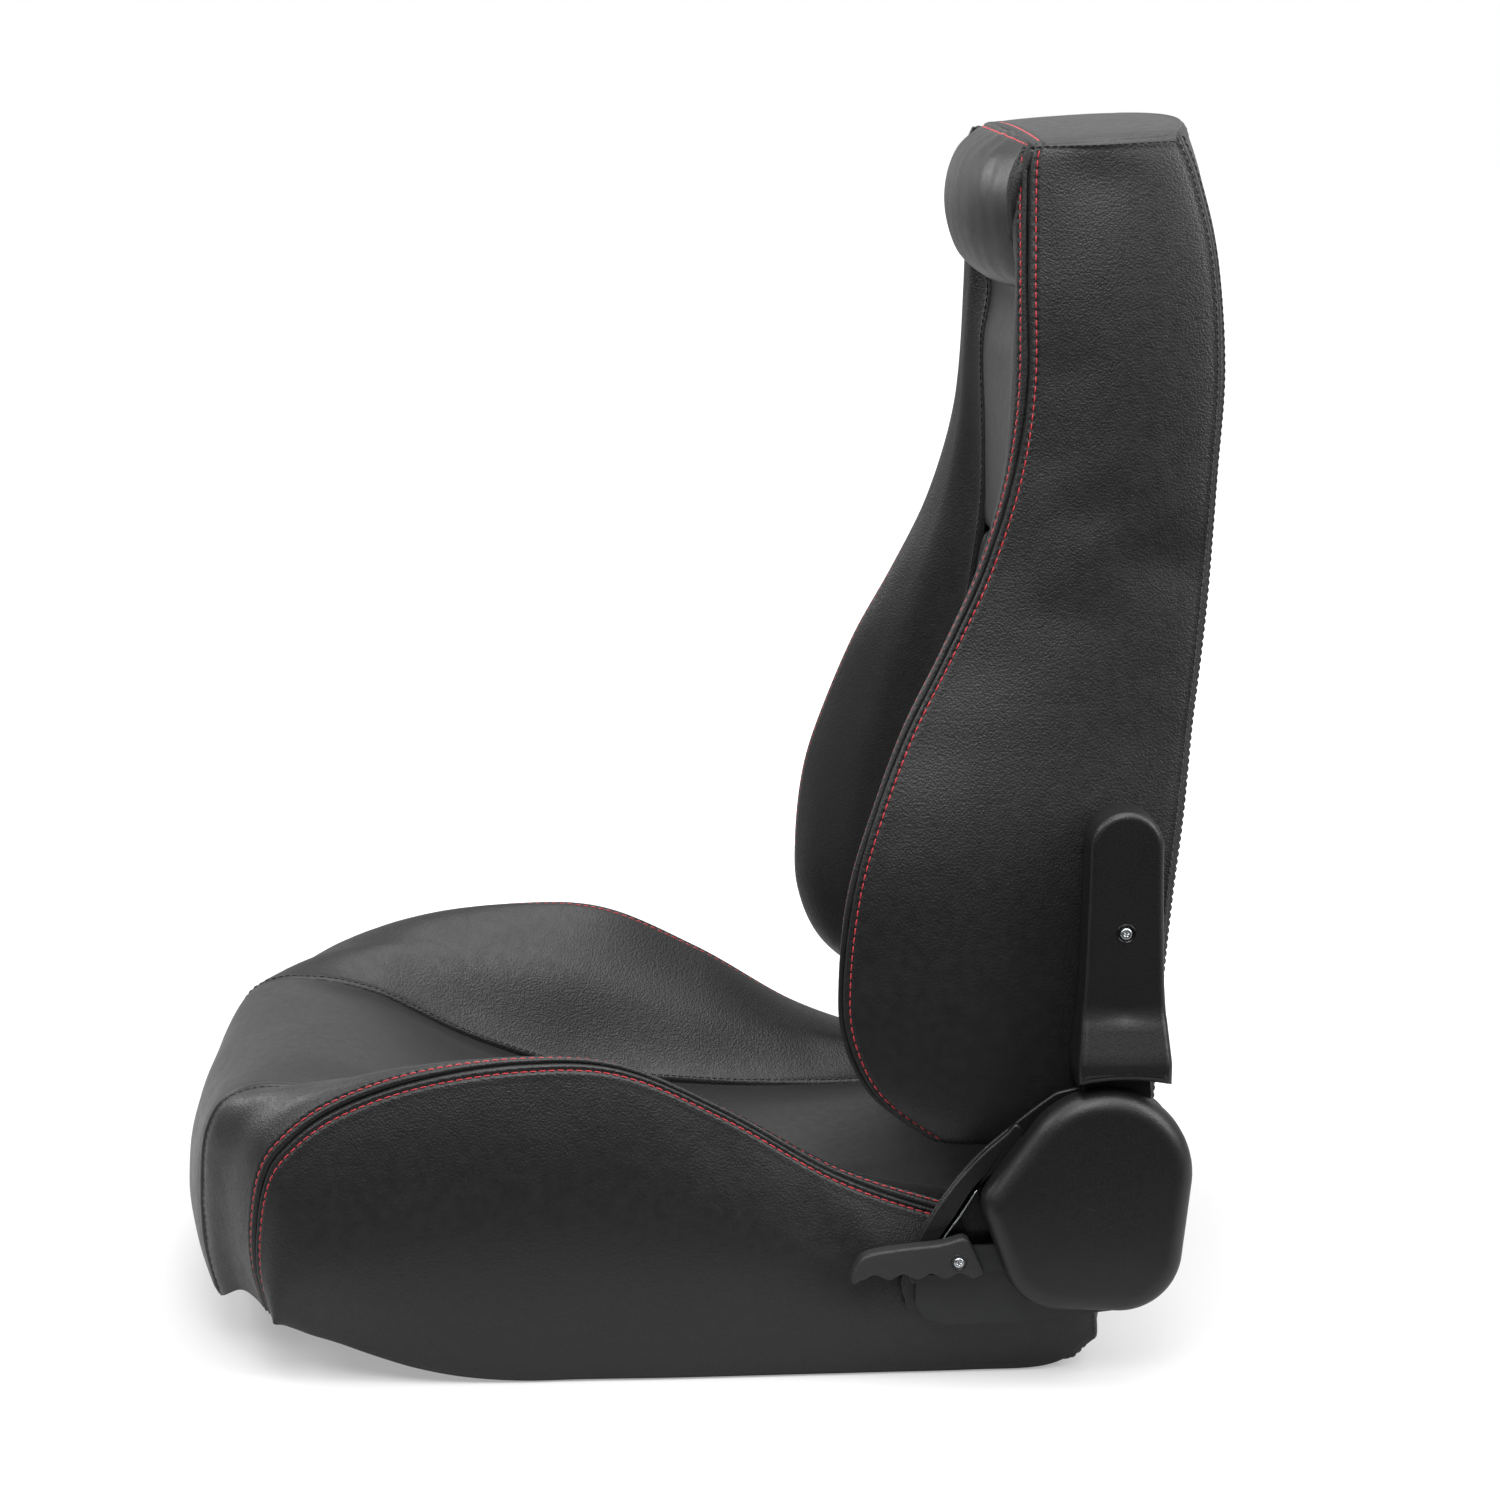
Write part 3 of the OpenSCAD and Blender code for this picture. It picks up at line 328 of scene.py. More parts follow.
# the headrest's roll, from the valley under it, round its front, to the top seam
headCentre = rail(0, [
    (-34, 600), (-58, 606), (-76, 621), (-85, 647), (-85, 674), (-77, 697), (-61, 711), (-48, 715)], pivot)
headSide = rail([129, 132, 137, 143, 146, 147.5, 148, 148], [
    (-34, 603), (-46, 613), (-54, 629), (-56, 652), (-53, 676), (-46, 693), (-42, 703), (-40, 709)], pivot)
headRails = [headCentre, towardsSeam(headCentre, headSide, (0.55, 0.2)), headSide]


# how each kind of edge rises and falls beside its seam: each swell's height, distance and width in mm
edgeShapes = {
    "topstitched": [(-1.5, 0, 1.0), (0.9, 3.2, 1.7), (-0.9, 6.0, 1.0), (0.45, 8.6, 2.2)],
    "plain": [(-3.2, 0, 1.3), (0.8, 4.2, 2.2), (-1.3, 0, 7.0)],
    "sunk": [(-3.5, 0, 2.2), (-2.5, 0, 9.0)],
    "hem": [(-1.2, 0, 3.0)],
    "flat": [],
}
fineEdge = [0, 0.7, 1.5, 2.4, 3.3, 4.3, 5.2, 6.0, 6.8, 7.8, 9.2, 11.5, 15]
softEdge = [0, 1.2, 2.6, 4.4, 6.5, 9.5, 14]


def edgeHeight(kind, distance):
    swells = (h * np.exp(-((distance - c) / w) ** 2) for h, c, w in edgeShapes[kind])
    return sum(swells, np.zeros_like(distance))


def ripple(p, size, seed):           # smooth noise from waves in fixed directions, about -1 to 1
    waves = np.random.default_rng(seed)
    total = np.zeros(p.shape[:-1])
    for _ in range(7):
        direction = waves.normal(size=3)
        direction /= np.linalg.norm(direction)
        length = size * waves.uniform(0.7, 1.6)
        total += np.sin((p @ direction) * 2 * math.pi / length + waves.uniform(0, 6.28))
    return total / 3.2


class Panel:                         # one piece of vinyl between seams, as a grid of points on a surface
    def __init__(self, rails, us, vs, edges, material, cell=5.0, coarse=9.0, puff=3.0):
        self.rails, self.us, self.vs, self.edges = rails, us, vs, edges
        self.material, self.cell, self.coarse, self.puff = material, cell, coarse, puff

    def place(self, uList, fractions):   # points at u along the rails and at fractions of each row's length
        if callable(self.rails):
            dense = self.rails(uList, np.linspace(*self.vs, 161))
            return self.pick(dense, fractions)
        rows = np.stack([splineAt(r, uList) for r in self.rails], axis=1)
        v = np.broadcast_to(np.linspace(*self.vs, 161), (len(uList), 161))
        length = lengthAlong(acrossRows(rows, v), axis=1)
        wanted = fractions * length[:, -1:]
        at = np.stack([np.interp(w, l, row) for w, l, row in zip(wanted, length, v)])
        return acrossRows(rows, at)

    def pick(self, dense, fractions):
        length = lengthAlong(dense, axis=1)
        out = np.empty(fractions.shape + (3,))
        for i in range(len(dense)):
            for k in range(3):
                out[i, :, k] = np.interp(fractions[i] * length[i, -1], length[i], dense[i, :, k])
        return out

    def measure(self):                   # lengths along the middle and across each row
        self.uDense = np.linspace(*self.us, 241)
        spine = self.place(self.uDense, np.full((241, 3), [0.1, 0.5, 0.9]))
        self.uLength = lengthAlong(spine, axis=0).mean(axis=1)

    def coarseGrid(self):
        self.measure()
        n = max(4, int(self.uLength[-1] / self.coarse))
        self.uCoarse = np.interp(np.linspace(0, self.uLength[-1], n + 1), self.uLength, self.uDense)
        probe = self.place(self.uCoarse, np.broadcast_to(np.linspace(0, 1, 21), (n + 1, 21)))
        m = max(4, int(np.median(lengthAlong(probe, axis=1)[:, -1]) / self.coarse))
        return self.place(self.uCoarse, np.broadcast_to(np.linspace(0, 1, m + 1), (n + 1, m + 1)))

    def finish(self, move):              # move is how far the cloth carried each point of the coarse grid
        start, end, low, high = self.edges
        lowSteps, highSteps, startSteps, endSteps = (
            fineEdge if kind in ("plain", "topstitched") else softEdge for kind in (low, high, start, end))
        along = spacing(self.uLength[-1], lowSteps, highSteps, self.cell)[0]
        uFine = np.interp(along, self.uLength, self.uDense)
        probe = self.place(uFine, np.broadcast_to(np.linspace(0, 1, 41), (len(uFine), 41)))
        width = lengthAlong(probe, axis=1)[:, -1]
        across = spacing(width, startSteps, endSteps, self.cell)
        fractions = across / width[:, None]
        base = self.place(uFine, fractions)
        if move is not None:
            rows = splineAt(move, np.interp(uFine, self.uCoarse, np.arange(len(self.uCoarse))))
            base = base + acrossRows(rows, fractions * (move.shape[1] - 1), mirrored=False)
        normals = gridNormals(base)
        toLow = np.broadcast_to(along[:, None], across.shape)
        toHigh = along[-1] - toLow
        toEnd = width[:, None] - across
        squeeze = np.minimum(1, width / 34)[:, None]
        height = (edgeHeight(start, across / squeeze) + edgeHeight(end, toEnd / squeeze)) * squeeze
        height = height + edgeHeight(low, toLow) + edgeHeight(high, toHigh)
        self.points = base + normals * height[..., None]
        self.along, self.across, self.toEnd = along, across, toEnd
        return self

    def adjust(self, height):            # extra creases, as a height for each point
        self.points = self.points + gridNormals(self.points) * height[..., None]


def mirrorPanel(panel):
    twin = Panel(panel.rails, panel.us, panel.vs, panel.edges, panel.material)
    twin.points = (panel.points * [-1, 1, 1])[:, ::-1]
    twin.along = panel.along
    twin.across, twin.toEnd = panel.toEnd[:, ::-1], panel.across[:, ::-1]
    twin.edges = (panel.edges[1], panel.edges[0]) + tuple(panel.edges[2:])
    return twin


def gridFaces(index):                # quads over a grid of point numbers
    return asPoints(index[:-1, :-1], index[:-1, 1:], index[1:, 1:], index[1:, :-1]).reshape(-1, 4)


def blockMesh(name, top, under, material):   # a closed solid between two equal grids
    size = top.shape[0] * top.shape[1]
    index = np.arange(size).reshape(top.shape[:2])
    ring = np.concatenate([index[0], index[1:, -1], index[-1, -2::-1], index[-2:0:-1, 0]])
    after = np.roll(ring, -1)
    walls = asPoints(after, ring, ring + size, after + size)
    faces = np.concatenate([gridFaces(index), gridFaces(index)[:, [0, 3, 2, 1]] + size, walls])
    mesh = bpy.data.meshes.new(name)
    mesh.from_pydata(np.concatenate([top.reshape(-1, 3), under.reshape(-1, 3)]) * mm, [], faces.tolist())
    mesh.materials.append(material)
    return linkObject(name, mesh)


def panelMesh(name, panel):          # a closed sheet, with its distance from the seams as a UV layer
    top = panel.points
    piece = blockMesh(name, top, top - gridNormals(top) * vinylLook["thick"], panel.material)
    mesh = piece.data
    near = np.full(panel.across.shape, 0.5)
    for edge, distance in zip(panel.edges, (panel.across, panel.toEnd)):
        if edge == "topstitched":
            near = np.minimum(near, distance * mm)
    seam = asPoints(panel.along[:, None] * mm, near).reshape(-1, 2)
    seam = np.concatenate([seam, seam * [1, 0] + [0, 0.5]])
    layer = mesh.uv_layers.new(name="seam")
    corners = np.empty(len(mesh.loops), dtype=np.int32)
    mesh.loops.foreach_get("vertex_index", corners)
    layer.data.foreach_set("uv", seam[corners].ravel())
    mesh.shade_smooth()
    return piece


clothSettings = {"pressure": 4.0, "frames": 20, "quality": 6, "mass": 0.3, "tension": 20.0, "bending": 6.0,
                 "slack": 0.002, "relax": 4}


def inflate(name, panels):               # sews coarse grids down at their edges and lets air push them out
    grids = [p.coarseGrid() for p in panels]
    points, faces, pins, start = [], [], [], 0
    for g in grids:
        index = np.arange(g.shape[0] * g.shape[1]).reshape(g.shape[:2]) + start
        faces.append(gridFaces(index))
        pins += np.concatenate([index[0], index[-1], index[:, 0], index[:, -1]]).tolist()
        points.append(g.reshape(-1, 3))
        start += index.size
    flat = np.concatenate(points)
    mesh = bpy.data.meshes.new(name)
    mesh.from_pydata(flat * mm, [], np.concatenate(faces).tolist())
    sheet = linkObject(name, mesh)
    sheet.vertex_groups.new(name="seams").add(pins, 1.0, "REPLACE")
    cloth = sheet.modifiers.new("cloth", "CLOTH")
    cloth.settings.quality = clothSettings["quality"]
    cloth.settings.mass = clothSettings["mass"]
    cloth.settings.tension_stiffness = cloth.settings.compression_stiffness = clothSettings["tension"]
    cloth.settings.bending_stiffness = clothSettings["bending"]
    cloth.settings.shrink_min = -clothSettings["slack"]
    cloth.settings.vertex_group_mass = "seams"
    cloth.settings.use_pressure = True
    cloth.settings.uniform_pressure_force = clothSettings["pressure"]
    cloth.settings.effector_weights.gravity = 0
    cloth.point_cache.frame_start, cloth.point_cache.frame_end = 1, clothSettings["frames"]
    for frameNumber in range(1, clothSettings["frames"] + 1):
        bpy.context.scene.frame_set(frameNumber)
    result = sheet.evaluated_get(bpy.context.evaluated_depsgraph_get()).to_mesh()
    after = np.empty(len(flat) * 3)
    result.vertices.foreach_get("co", after)
    moved = after.reshape(-1, 3) / mm - flat
    bpy.data.objects.remove(sheet)
    bpy.data.meshes.remove(mesh)
    bpy.context.scene.frame_set(1)
    moves, at = [], 0
    for p, g in zip(panels, grids):
        d = moved[at:at + g.shape[0] * g.shape[1]].reshape(g.shape)
        at += g.shape[0] * g.shape[1]
        far = np.linalg.norm(d, axis=-1, keepdims=True)
        print(f"  cloth moved {name} panel by {far.mean():.1f} mm, at most {far.max():.1f}")
        d = d * p.puff * np.tanh(far / p.puff) / np.maximum(far, 1e-6)
        for _ in range(clothSettings["relax"]):      # the vinyl is too stiff to keep the finest puckers
            d[1:-1, 1:-1] = (2 * d[1:-1, 1:-1] + d[:-2, 1:-1] + d[2:, 1:-1] + d[1:-1, :-2] + d[1:-1, 2:]) / 6
        moves.append(d)
    return moves


coverLook = {"seatPuff": 3.2, "sidePuff": 4.0, "restPuff": 3.0, "headPuff": 1.5, "rearPuff": 4.0}
insertSpan, bolsterSpan, sideSpan = (-1.9992, 1.9992), (2.0008, 3.9992), (4.0008, 6)   # across the rails

seatInsert = Panel(seatRails, (0, seatEnd), insertSpan, ("plain", "plain", "hem", "hem"), insertVinyl,
                   puff=coverLook["seatPuff"])
seatBolster = Panel(seatRails, (0, seatEnd), bolsterSpan, ("plain", "topstitched", "flat", "hem"), sideVinyl,
                    puff=coverLook["seatPuff"])
seatSide = Panel(seatRails, (0, seatEnd), sideSpan, ("topstitched", "hem", "flat", "plain"), sideVinyl,
                 puff=coverLook["sidePuff"])


def seatRear(uList, across):             # the cushion's back, bowed between the ends of its side covers
    edge = [(281, 80, 226), (287, 60, 229), (288, 40, 232), (284, 22, 234), (272, 8, 234), (262, 5, 233)]
    rows, k = splineAt(np.array(edge, float), uList), across[None]
    y = rows[:, 0:1] + 5 - 4 * k ** 2 - 9 * np.abs(k) ** 9
    return asPoints(rows[:, 2:3] * k, y, rows[:, 1:2])


def restBack(uList, across):             # the backrest's rear cover, bowed behind its side seams
    p, k = splineAt(restRear, uList), across[None]
    bow = 13 + 11 * np.clip((uList - 11.5) / 1.5, 0, 1)[:, None] ** 2
    return asPoints(-(p[:, :1] - 0.3) * k, p[:, 1:2] + bow * (1 - k ** 2), p[:, 2:3])


def restAcross(uList, vs):               # points of the backrest's surface, one row for each u
    return acrossRows(np.stack([splineAt(r, uList) for r in restRails], axis=1), vs)


def restTop(uList, across):              # the cap from the headrest's seam to the rear cover
    side = restAcross(np.full(len(uList), float(restEnd)), (4 + 2 * uList)[:, None])[:, 0]
    t, k = uList[:, None], across[None]
    y = side[:, 1:2] + (-3 + 27 * t ** 1.5) * (1 - k ** 2)
    z = side[:, 2:3] + (5.5 - 1.5 * t) * (1 - k ** 2)
    return asPoints((side[:, :1] - 0.3) * k, y, z)


def restUnder(uList, across):            # the black cover that closes the backrest's foot
    front = restAcross(np.array([0.06]), -4 * across[None])
    rear = restBack(np.array([0.06]), across)
    t = uList[:, None, None]
    return front + (rear - front) * t + np.array([0, 0, 1]) * (6 * np.sin(math.pi * t))


cushionRear = Panel(seatRear, (0, 5), (-1, 1), ("plain", "plain", "hem", "hem"), sideVinyl,
                    puff=coverLook["seatPuff"])
insertLower = Panel(restRails, (0, insertSplit - 0.001), insertSpan, ("plain", "plain", "hem", "sunk"),
                    insertVinyl, puff=coverLook["restPuff"])
insertUpper = Panel(restRails, (insertSplit + 0.001, insertTop + 0.35), insertSpan,
                    ("plain", "plain", "sunk", "sunk"), insertVinyl, puff=coverLook["restPuff"])
restWing = Panel(restRails, (0, restEnd - 0.1), bolsterSpan, ("plain", "topstitched", "hem", "flat"),
                 sideVinyl, puff=coverLook["restPuff"])
restSide = Panel(restRails, (0, restEnd), sideSpan, ("topstitched", "plain", "hem", "plain"), sideVinyl,
                 puff=coverLook["sidePuff"])
headPad = Panel(headRails, (0, 7), (-2, 2), ("sunk", "sunk", "flat", "topstitched"), insertVinyl, cell=4.0,
                puff=coverLook["headPuff"])
backTop = Panel(restTop, (0, 1), (-1, 1), ("plain", "plain", "topstitched", "plain"), sideVinyl, cell=4.5,
                puff=2.0)
backUnder = Panel(restUnder, (0, 1), (-1, 1), ("flat",) * 4, sideVinyl, cell=8.0, coarse=14.0, puff=2.0)
backRear = Panel(restBack, (0, restEnd), (-1, 1), ("plain", "plain", "hem", "plain"), sideVinyl, cell=6.0,
                 coarse=12.0, puff=coverLook["rearPuff"])

seatPanels = [seatInsert, seatBolster, seatSide, cushionRear]
restPanels = [insertLower, insertUpper, restWing, restSide, headPad, backTop, backRear, backUnder]
for panelGroup, label in ((seatPanels, "cushion"), (restPanels, "backrest")):
    for panel, move in zip(panelGroup, inflate(label, panelGroup)):
        panel.finish(move)
print("covers inflated")


def hangingFolds(panel, size, depth, seed):   # folds that run along the rails and wander a little
    p = panel.points
    phase = p[..., 0] / size + 0.35 * ripple(p, 90, seed)
    return depth * np.sin(2 * math.pi * phase) * (0.5 + 0.5 * ripple(p, 70, seed + 1))


fromTop = headPad.along[-1] - headPad.along[:, None]
headPad.adjust(hangingFolds(headPad, 27, 0.8, 11) * np.exp(-fromTop / 55)
               + hangingFolds(headPad, 21, 0.7, 12) * np.exp(-headPad.along[:, None] / 45)
               + 0.25 * ripple(headPad.points, 60, 13))
nose = np.exp(-((seatInsert.points[..., 1] + 368) / 60) ** 2)
seatInsert.adjust(0.5 * ripple(seatInsert.points, 75, 21) * (0.4 + 0.6 * nose))
for panel, depth, seed in ((seatBolster, 0.45, 22), (seatSide, 0.35, 23), (restWing, 0.35, 24),
                           (restSide, 0.3, 25), (insertLower, 0.35, 26), (insertUpper, 0.35, 27),
                           (backRear, 0.4, 28)):
    panel.adjust(depth * ripple(panel.points, 110, seed))
bend = np.abs(seatBolster.points[..., 1] + 330) / 55   # short pulls where the bolster turns down in front
pulls = np.clip(ripple(seatBolster.points, 34, 31), 0, 1)
seatBolster.adjust(-1.1 * np.exp(-bend ** 2) * pulls * np.exp(-seatBolster.across / 40))

twins = {panel: mirrorPanel(panel) for panel in (seatBolster, seatSide, restWing, restSide)}
for name, panel, body, node in (("cushionInsert", seatInsert, "seat_base", "cushion_insert_cover"),
                                ("cushionBolster", seatBolster, "seat_base", "cushion_bolster_cover"),
                                ("cushionSide", seatSide, "seat_base", "cushion_side_cover"),
                                ("cushionBack", cushionRear, "seat_base", "cushion_rear_cover"),
                                ("backInsertLower", insertLower, "backrest", "back_insert_lower"),
                                ("backInsertUpper", insertUpper, "backrest", "back_insert_upper"),
                                ("wing", restWing, "backrest", "wing_cover"),
                                ("backSide", restSide, "backrest", "back_side_cover"),
                                ("headrestPad", headPad, "backrest", "headrest_cover"),
                                ("backCap", backTop, "backrest", "back_top_cover"),
                                ("backPanel", backRear, "backrest", "back_rear_cover"),
                                ("backUnderside", backUnder, "backrest", None)):
    sewn = [(name, node, panel)]
    if panel in twins:
        sewn = [(name + "Left", node + "_left", panel), (name + "Right", node + "_right", twins[panel])]
    for pieceName, nodeName, shape in sewn:
        piece = panelMesh(pieceName, shape)
        mount(piece, body, nodeName)
print("covers sewn")

flapLook = {"half": 217.0, "low": (286.0, 84.0), "high": (316.0, 171.0), "sag": 7.0, "thick": 1.6}


def flapGrid(look):                      # the cloth that closes the slot between the cushion and the backrest
    k, t = np.linspace(-1, 1, 61)[None], np.linspace(0, 1, 15)[:, None]
    (lowY, lowZ), (highY, highZ) = look["low"], look["high"]
    y = lowY + (highY - lowY) * t + look["sag"] * np.sin(math.pi * t) * (1 - k ** 4)
    z = lowZ + (highZ - lowZ) * t
    return asPoints(-look["half"] * k, y, z)


flapPoints = flapGrid(flapLook)
flapPoints = flapPoints + gridNormals(flapPoints) * (1.2 * ripple(flapPoints, 48, 41))[..., None]
flap = blockMesh("gapFlap", flapPoints, flapPoints - gridNormals(flapPoints) * flapLook["thick"], sideVinyl)
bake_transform(flap)


def underSurface(rails, us, vs, depth):
    rows = np.stack([splineAt(r, us) for r in rails], axis=1)
    grid = acrossRows(rows, np.broadcast_to(vs, (len(us), len(vs))))
    return grid - gridNormals(grid) * depth


def flatRear(front, narrow, heights, depths):   # a foam block's back, at these depths behind the recline axis
    rear = front * [narrow, 0, 1]
    rear[..., 1] = pivot[0] + np.interp(front[..., 2] - pivot[1], heights, depths)
    return rear


foamBase = 60.0                              # height of the cushion foam's underside
seatFoamTop = underSurface(seatRails, np.linspace(3, seatEnd - 0.4, 60), np.linspace(-4, 4, 64), 15)
restFoamFront = underSurface(restRails, np.linspace(0.25, insertTop, 70), np.linspace(-4, 4, 60), 14)
headFoamFront = underSurface(headRails, np.linspace(0.6, 6.9, 28), np.linspace(-1.9, 1.9, 36), 9)
restFoamRear = flatRear(restFoamFront, 0.985, [0, 232, 370, 540, 700], [-14, -12, 14, 28, 26])
headFoamRear = flatRear(headFoamFront, 0.96, [540, 700], [28, 26])
seatFoamUnder = seatFoamTop * [0.985, 1, 0] + [0, 0, foamBase]
foamBlocks = [("cushionFoam", seatFoamTop, seatFoamUnder, "seat_base", "cushion_foam"),
              ("backFoam", restFoamFront, restFoamRear, "backrest", "back_foam"),
              ("headrestFoam", headFoamFront, headFoamRear, "backrest", "headrest_foam")]
for name, top, under, body, node in foamBlocks:
    piece = blockMesh(name, top, under, seatFoam)
    mount(piece, body, node)
print("foam made")


stitchLook = {"redPitch": 6.5, "redLength": 4.7, "redRadius": 0.55, "blackPitch": 5.5, "blackLength": 4.0,
              "blackRadius": 0.42}


def stitchTree():                    # lays one short arched thread on every point, turned along the seam
    tree = bpy.data.node_groups.new("stitchRow", "GeometryNodeTree")
    tree.interface.new_socket("Geometry", in_out="INPUT", socket_type="NodeSocketGeometry")
    for label in ("Thread length", "Thread radius", "Arch height"):
        tree.interface.new_socket(label, in_out="INPUT", socket_type="NodeSocketFloat")
    tree.interface.new_socket("Thread", in_out="INPUT", socket_type="NodeSocketMaterial")
    tree.interface.new_socket("Geometry", in_out="OUTPUT", socket_type="NodeSocketGeometry")
    given = addNode(tree, "NodeGroupInput", out=None)
    half = addNode(tree, "ShaderNodeMath", {0: given["Thread length"], 1: 0.5}, operation="MULTIPLY")
    back = addNode(tree, "ShaderNodeMath", {0: given["Thread length"], 1: -0.5}, operation="MULTIPLY")
    sunk = addNode(tree, "ShaderNodeMath", {0: given["Arch height"], 1: -0.9}, operation="MULTIPLY")
    crown = addNode(tree, "ShaderNodeMath", {0: given["Arch height"], 1: 2.0}, operation="MULTIPLY")
    start = addNode(tree, "ShaderNodeCombineXYZ", {"X": back, "Z": sunk})
    middle = addNode(tree, "ShaderNodeCombineXYZ", {"Z": crown})
    end = addNode(tree, "ShaderNodeCombineXYZ", {"X": half, "Z": sunk})
    path = addNode(tree, "GeometryNodeCurveQuadraticBezier",
                   {"Resolution": 5, "Start": start, "Middle": middle, "End": end})
    section = addNode(tree, "GeometryNodeCurvePrimitiveCircle",
                      {"Resolution": 5, "Radius": given["Thread radius"]})
    thread = addNode(tree, "GeometryNodeCurveToMesh",
                     {"Curve": path, "Profile Curve": section, "Fill Caps": True})
    along, up = (addNode(tree, "GeometryNodeInputNamedAttribute", {"Name": name}, "Attribute",
                         data_type="FLOAT_VECTOR") for name in ("along", "up"))
    turn = addNode(tree, "FunctionNodeAxesToRotation", {"Primary Axis": up, "Secondary Axis": along},
                   primary_axis="Z", secondary_axis="X")
    dots = addNode(tree, "GeometryNodeMeshToPoints", {"Mesh": given["Geometry"]})
    laid = addNode(tree, "GeometryNodeInstanceOnPoints",
                   {"Points": dots, "Instance": thread, "Rotation": turn})
    real = addNode(tree, "GeometryNodeRealizeInstances", {"Geometry": laid})
    painted = addNode(tree, "GeometryNodeSetMaterial", {"Geometry": real, "Material": given["Thread"]})
    addNode(tree, "NodeGroupOutput", {"Geometry": painted}, None)
    return tree


stitchGroup = stitchTree()


def seamRow(panel, side, distance):          # the points at this distance from one of the panel's seams
    i = fineEdge.index(distance)
    cut = {"start": (slice(None), i), "end": (slice(None), -1 - i), "low": (i, slice(None)),
           "high": (-1 - i, slice(None))}[side]
    return panel.points[cut], gridNormals(panel.points)[cut]


def seamRows(seams, distance, skips):        # the same for several seams, and for their mirror images
    rows = []
    for panel, side in seams:
        rows.append((seamRow(panel, side, distance), skips))
        if panel in twins:
            otherSide = {"start": "end", "end": "start"}.get(side, side)
            rows.append((seamRow(twins[panel], otherSide, distance), skips))
    return rows


def stitchPoints(rows, pitch, radius):
    places, tangents, ups = [], [], []
    for (line, normal), (skipStart, skipEnd) in rows:
        length = lengthAlong(line)
        count = int((length[-1] - skipStart - skipEnd) / pitch)
        at = skipStart + (np.arange(count) + 0.5) * pitch
        put, ahead, behind, lift = (
            asPoints(*(np.interp(where, length, values[:, k]) for k in range(3)))
            for where, values in ((at, line), (at + 1, line), (at - 1, line), (at, normal)))
        places.append(put + lift * radius * 0.5)
        tangents.append(ahead - behind)
        ups.append(lift)
    return np.concatenate(places), np.concatenate(tangents), np.concatenate(ups)


def sewRows(name, rows, thread, tone, body):
    pitch, length, radius = (stitchLook[tone + size] for size in ("Pitch", "Length", "Radius"))
    places, tangents, ups = stitchPoints(rows, pitch, radius)
    mesh = bpy.data.meshes.new(name)
    mesh.from_pydata(places * mm, [], [])
    for label, values in (("along", tangents), ("up", ups)):
        values = values.astype(np.float32).ravel()
        mesh.attributes.new(label, "FLOAT_VECTOR", "POINT").data.foreach_set("vector", values)
    dots = linkObject(name + "Dots", mesh)
    sewing = dots.modifiers.new("sewing", "NODES")
    sewing.node_group = stitchGroup
    given = {"Thread length": length * mm, "Thread radius": radius * mm, "Arch height": radius * mm,
             "Thread": thread}
    for item in stitchGroup.interface.items_tree:
        if item.name in given:
            sewing[item.identifier] = given[item.name]
    made = bpy.data.meshes.new_from_object(dots.evaluated_get(bpy.context.evaluated_depsgraph_get()))
    bpy.data.objects.remove(dots)
    made.name = name
    made.shade_smooth()
    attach(linkObject(name, made), body)
    print(f"  {name}: {len(places)} stitches")


seatRed = seamRows([(seatBolster, "end"), (seatSide, "start")], 6.0, (4, 30))
restRed = (seamRows([(restWing, "end"), (restSide, "start")], 6.0, (6, 4))
           + seamRows([(headPad, "high")], 6.0, (3, 3)) + seamRows([(backTop, "low")], 6.0, (16, 16)))
seatBlack = seamRows([(seatBolster, "start"), (seatSide, "high"),
                      (cushionRear, "start"), (cushionRear, "end")], 4.3, (4, 4))
restBlack = seamRows([(restWing, "start"), (restSide, "end"), (restSide, "high"), (backTop, "high"),
                      (backRear, "start"), (backRear, "end")], 4.3, (4, 4))
sewRows("cushionRedStitches", seatRed, redThread, "red", "seat_base")
sewRows("backrestRedStitches", restRed, redThread, "red", "backrest")
sewRows("cushionBlackStitches", seatBlack, blackThread, "black", "seat_base")
sewRows("backrestBlackStitches", restBlack, blackThread, "black", "backrest")
print("stitches laid")


def unitCircle(count):
    turn = np.linspace(0, 2 * math.pi, count + 1)[:-1]
    return turn, asPoints(np.cos(turn), np.sin(turn))


def roundedHull(circles, count):             # outline round several circles, anticlockwise in [y, z]
    cloud = np.concatenate([np.array(c) + r * unitCircle(360)[1] for c, r in circles])
    cloud = cloud[np.lexsort((cloud[:, 1], cloud[:, 0]))]

    def chain(points):
        out = []
        for p in points:
            while len(out) > 1 and np.cross(out[-1] - out[-2], p - out[-1]) <= 0:
                out.pop()
            out.append(p)
        return out[:-1]
    loop = np.array(chain(list(cloud)) + chain(list(cloud[::-1])))
    return evenLoop(loop, count)


def evenLoop(loop, count):
    closed = np.concatenate([loop, loop[:1]])
    length = lengthAlong(closed)
    at = np.linspace(0, length[-1], count + 1)[:-1]
    return asPoints(*(np.interp(at, length, closed[:, k]) for k in (0, 1)))


def smoothLoop(corners, count):              # a smooth closed curve through the corners
    n = len(corners)
    wrapped = np.array(corners[-2:] + corners + corners[:3], float)
    return evenLoop(splineAt(wrapped, np.linspace(2, 2 + n, n * 16 + 1)[:-1]), count)


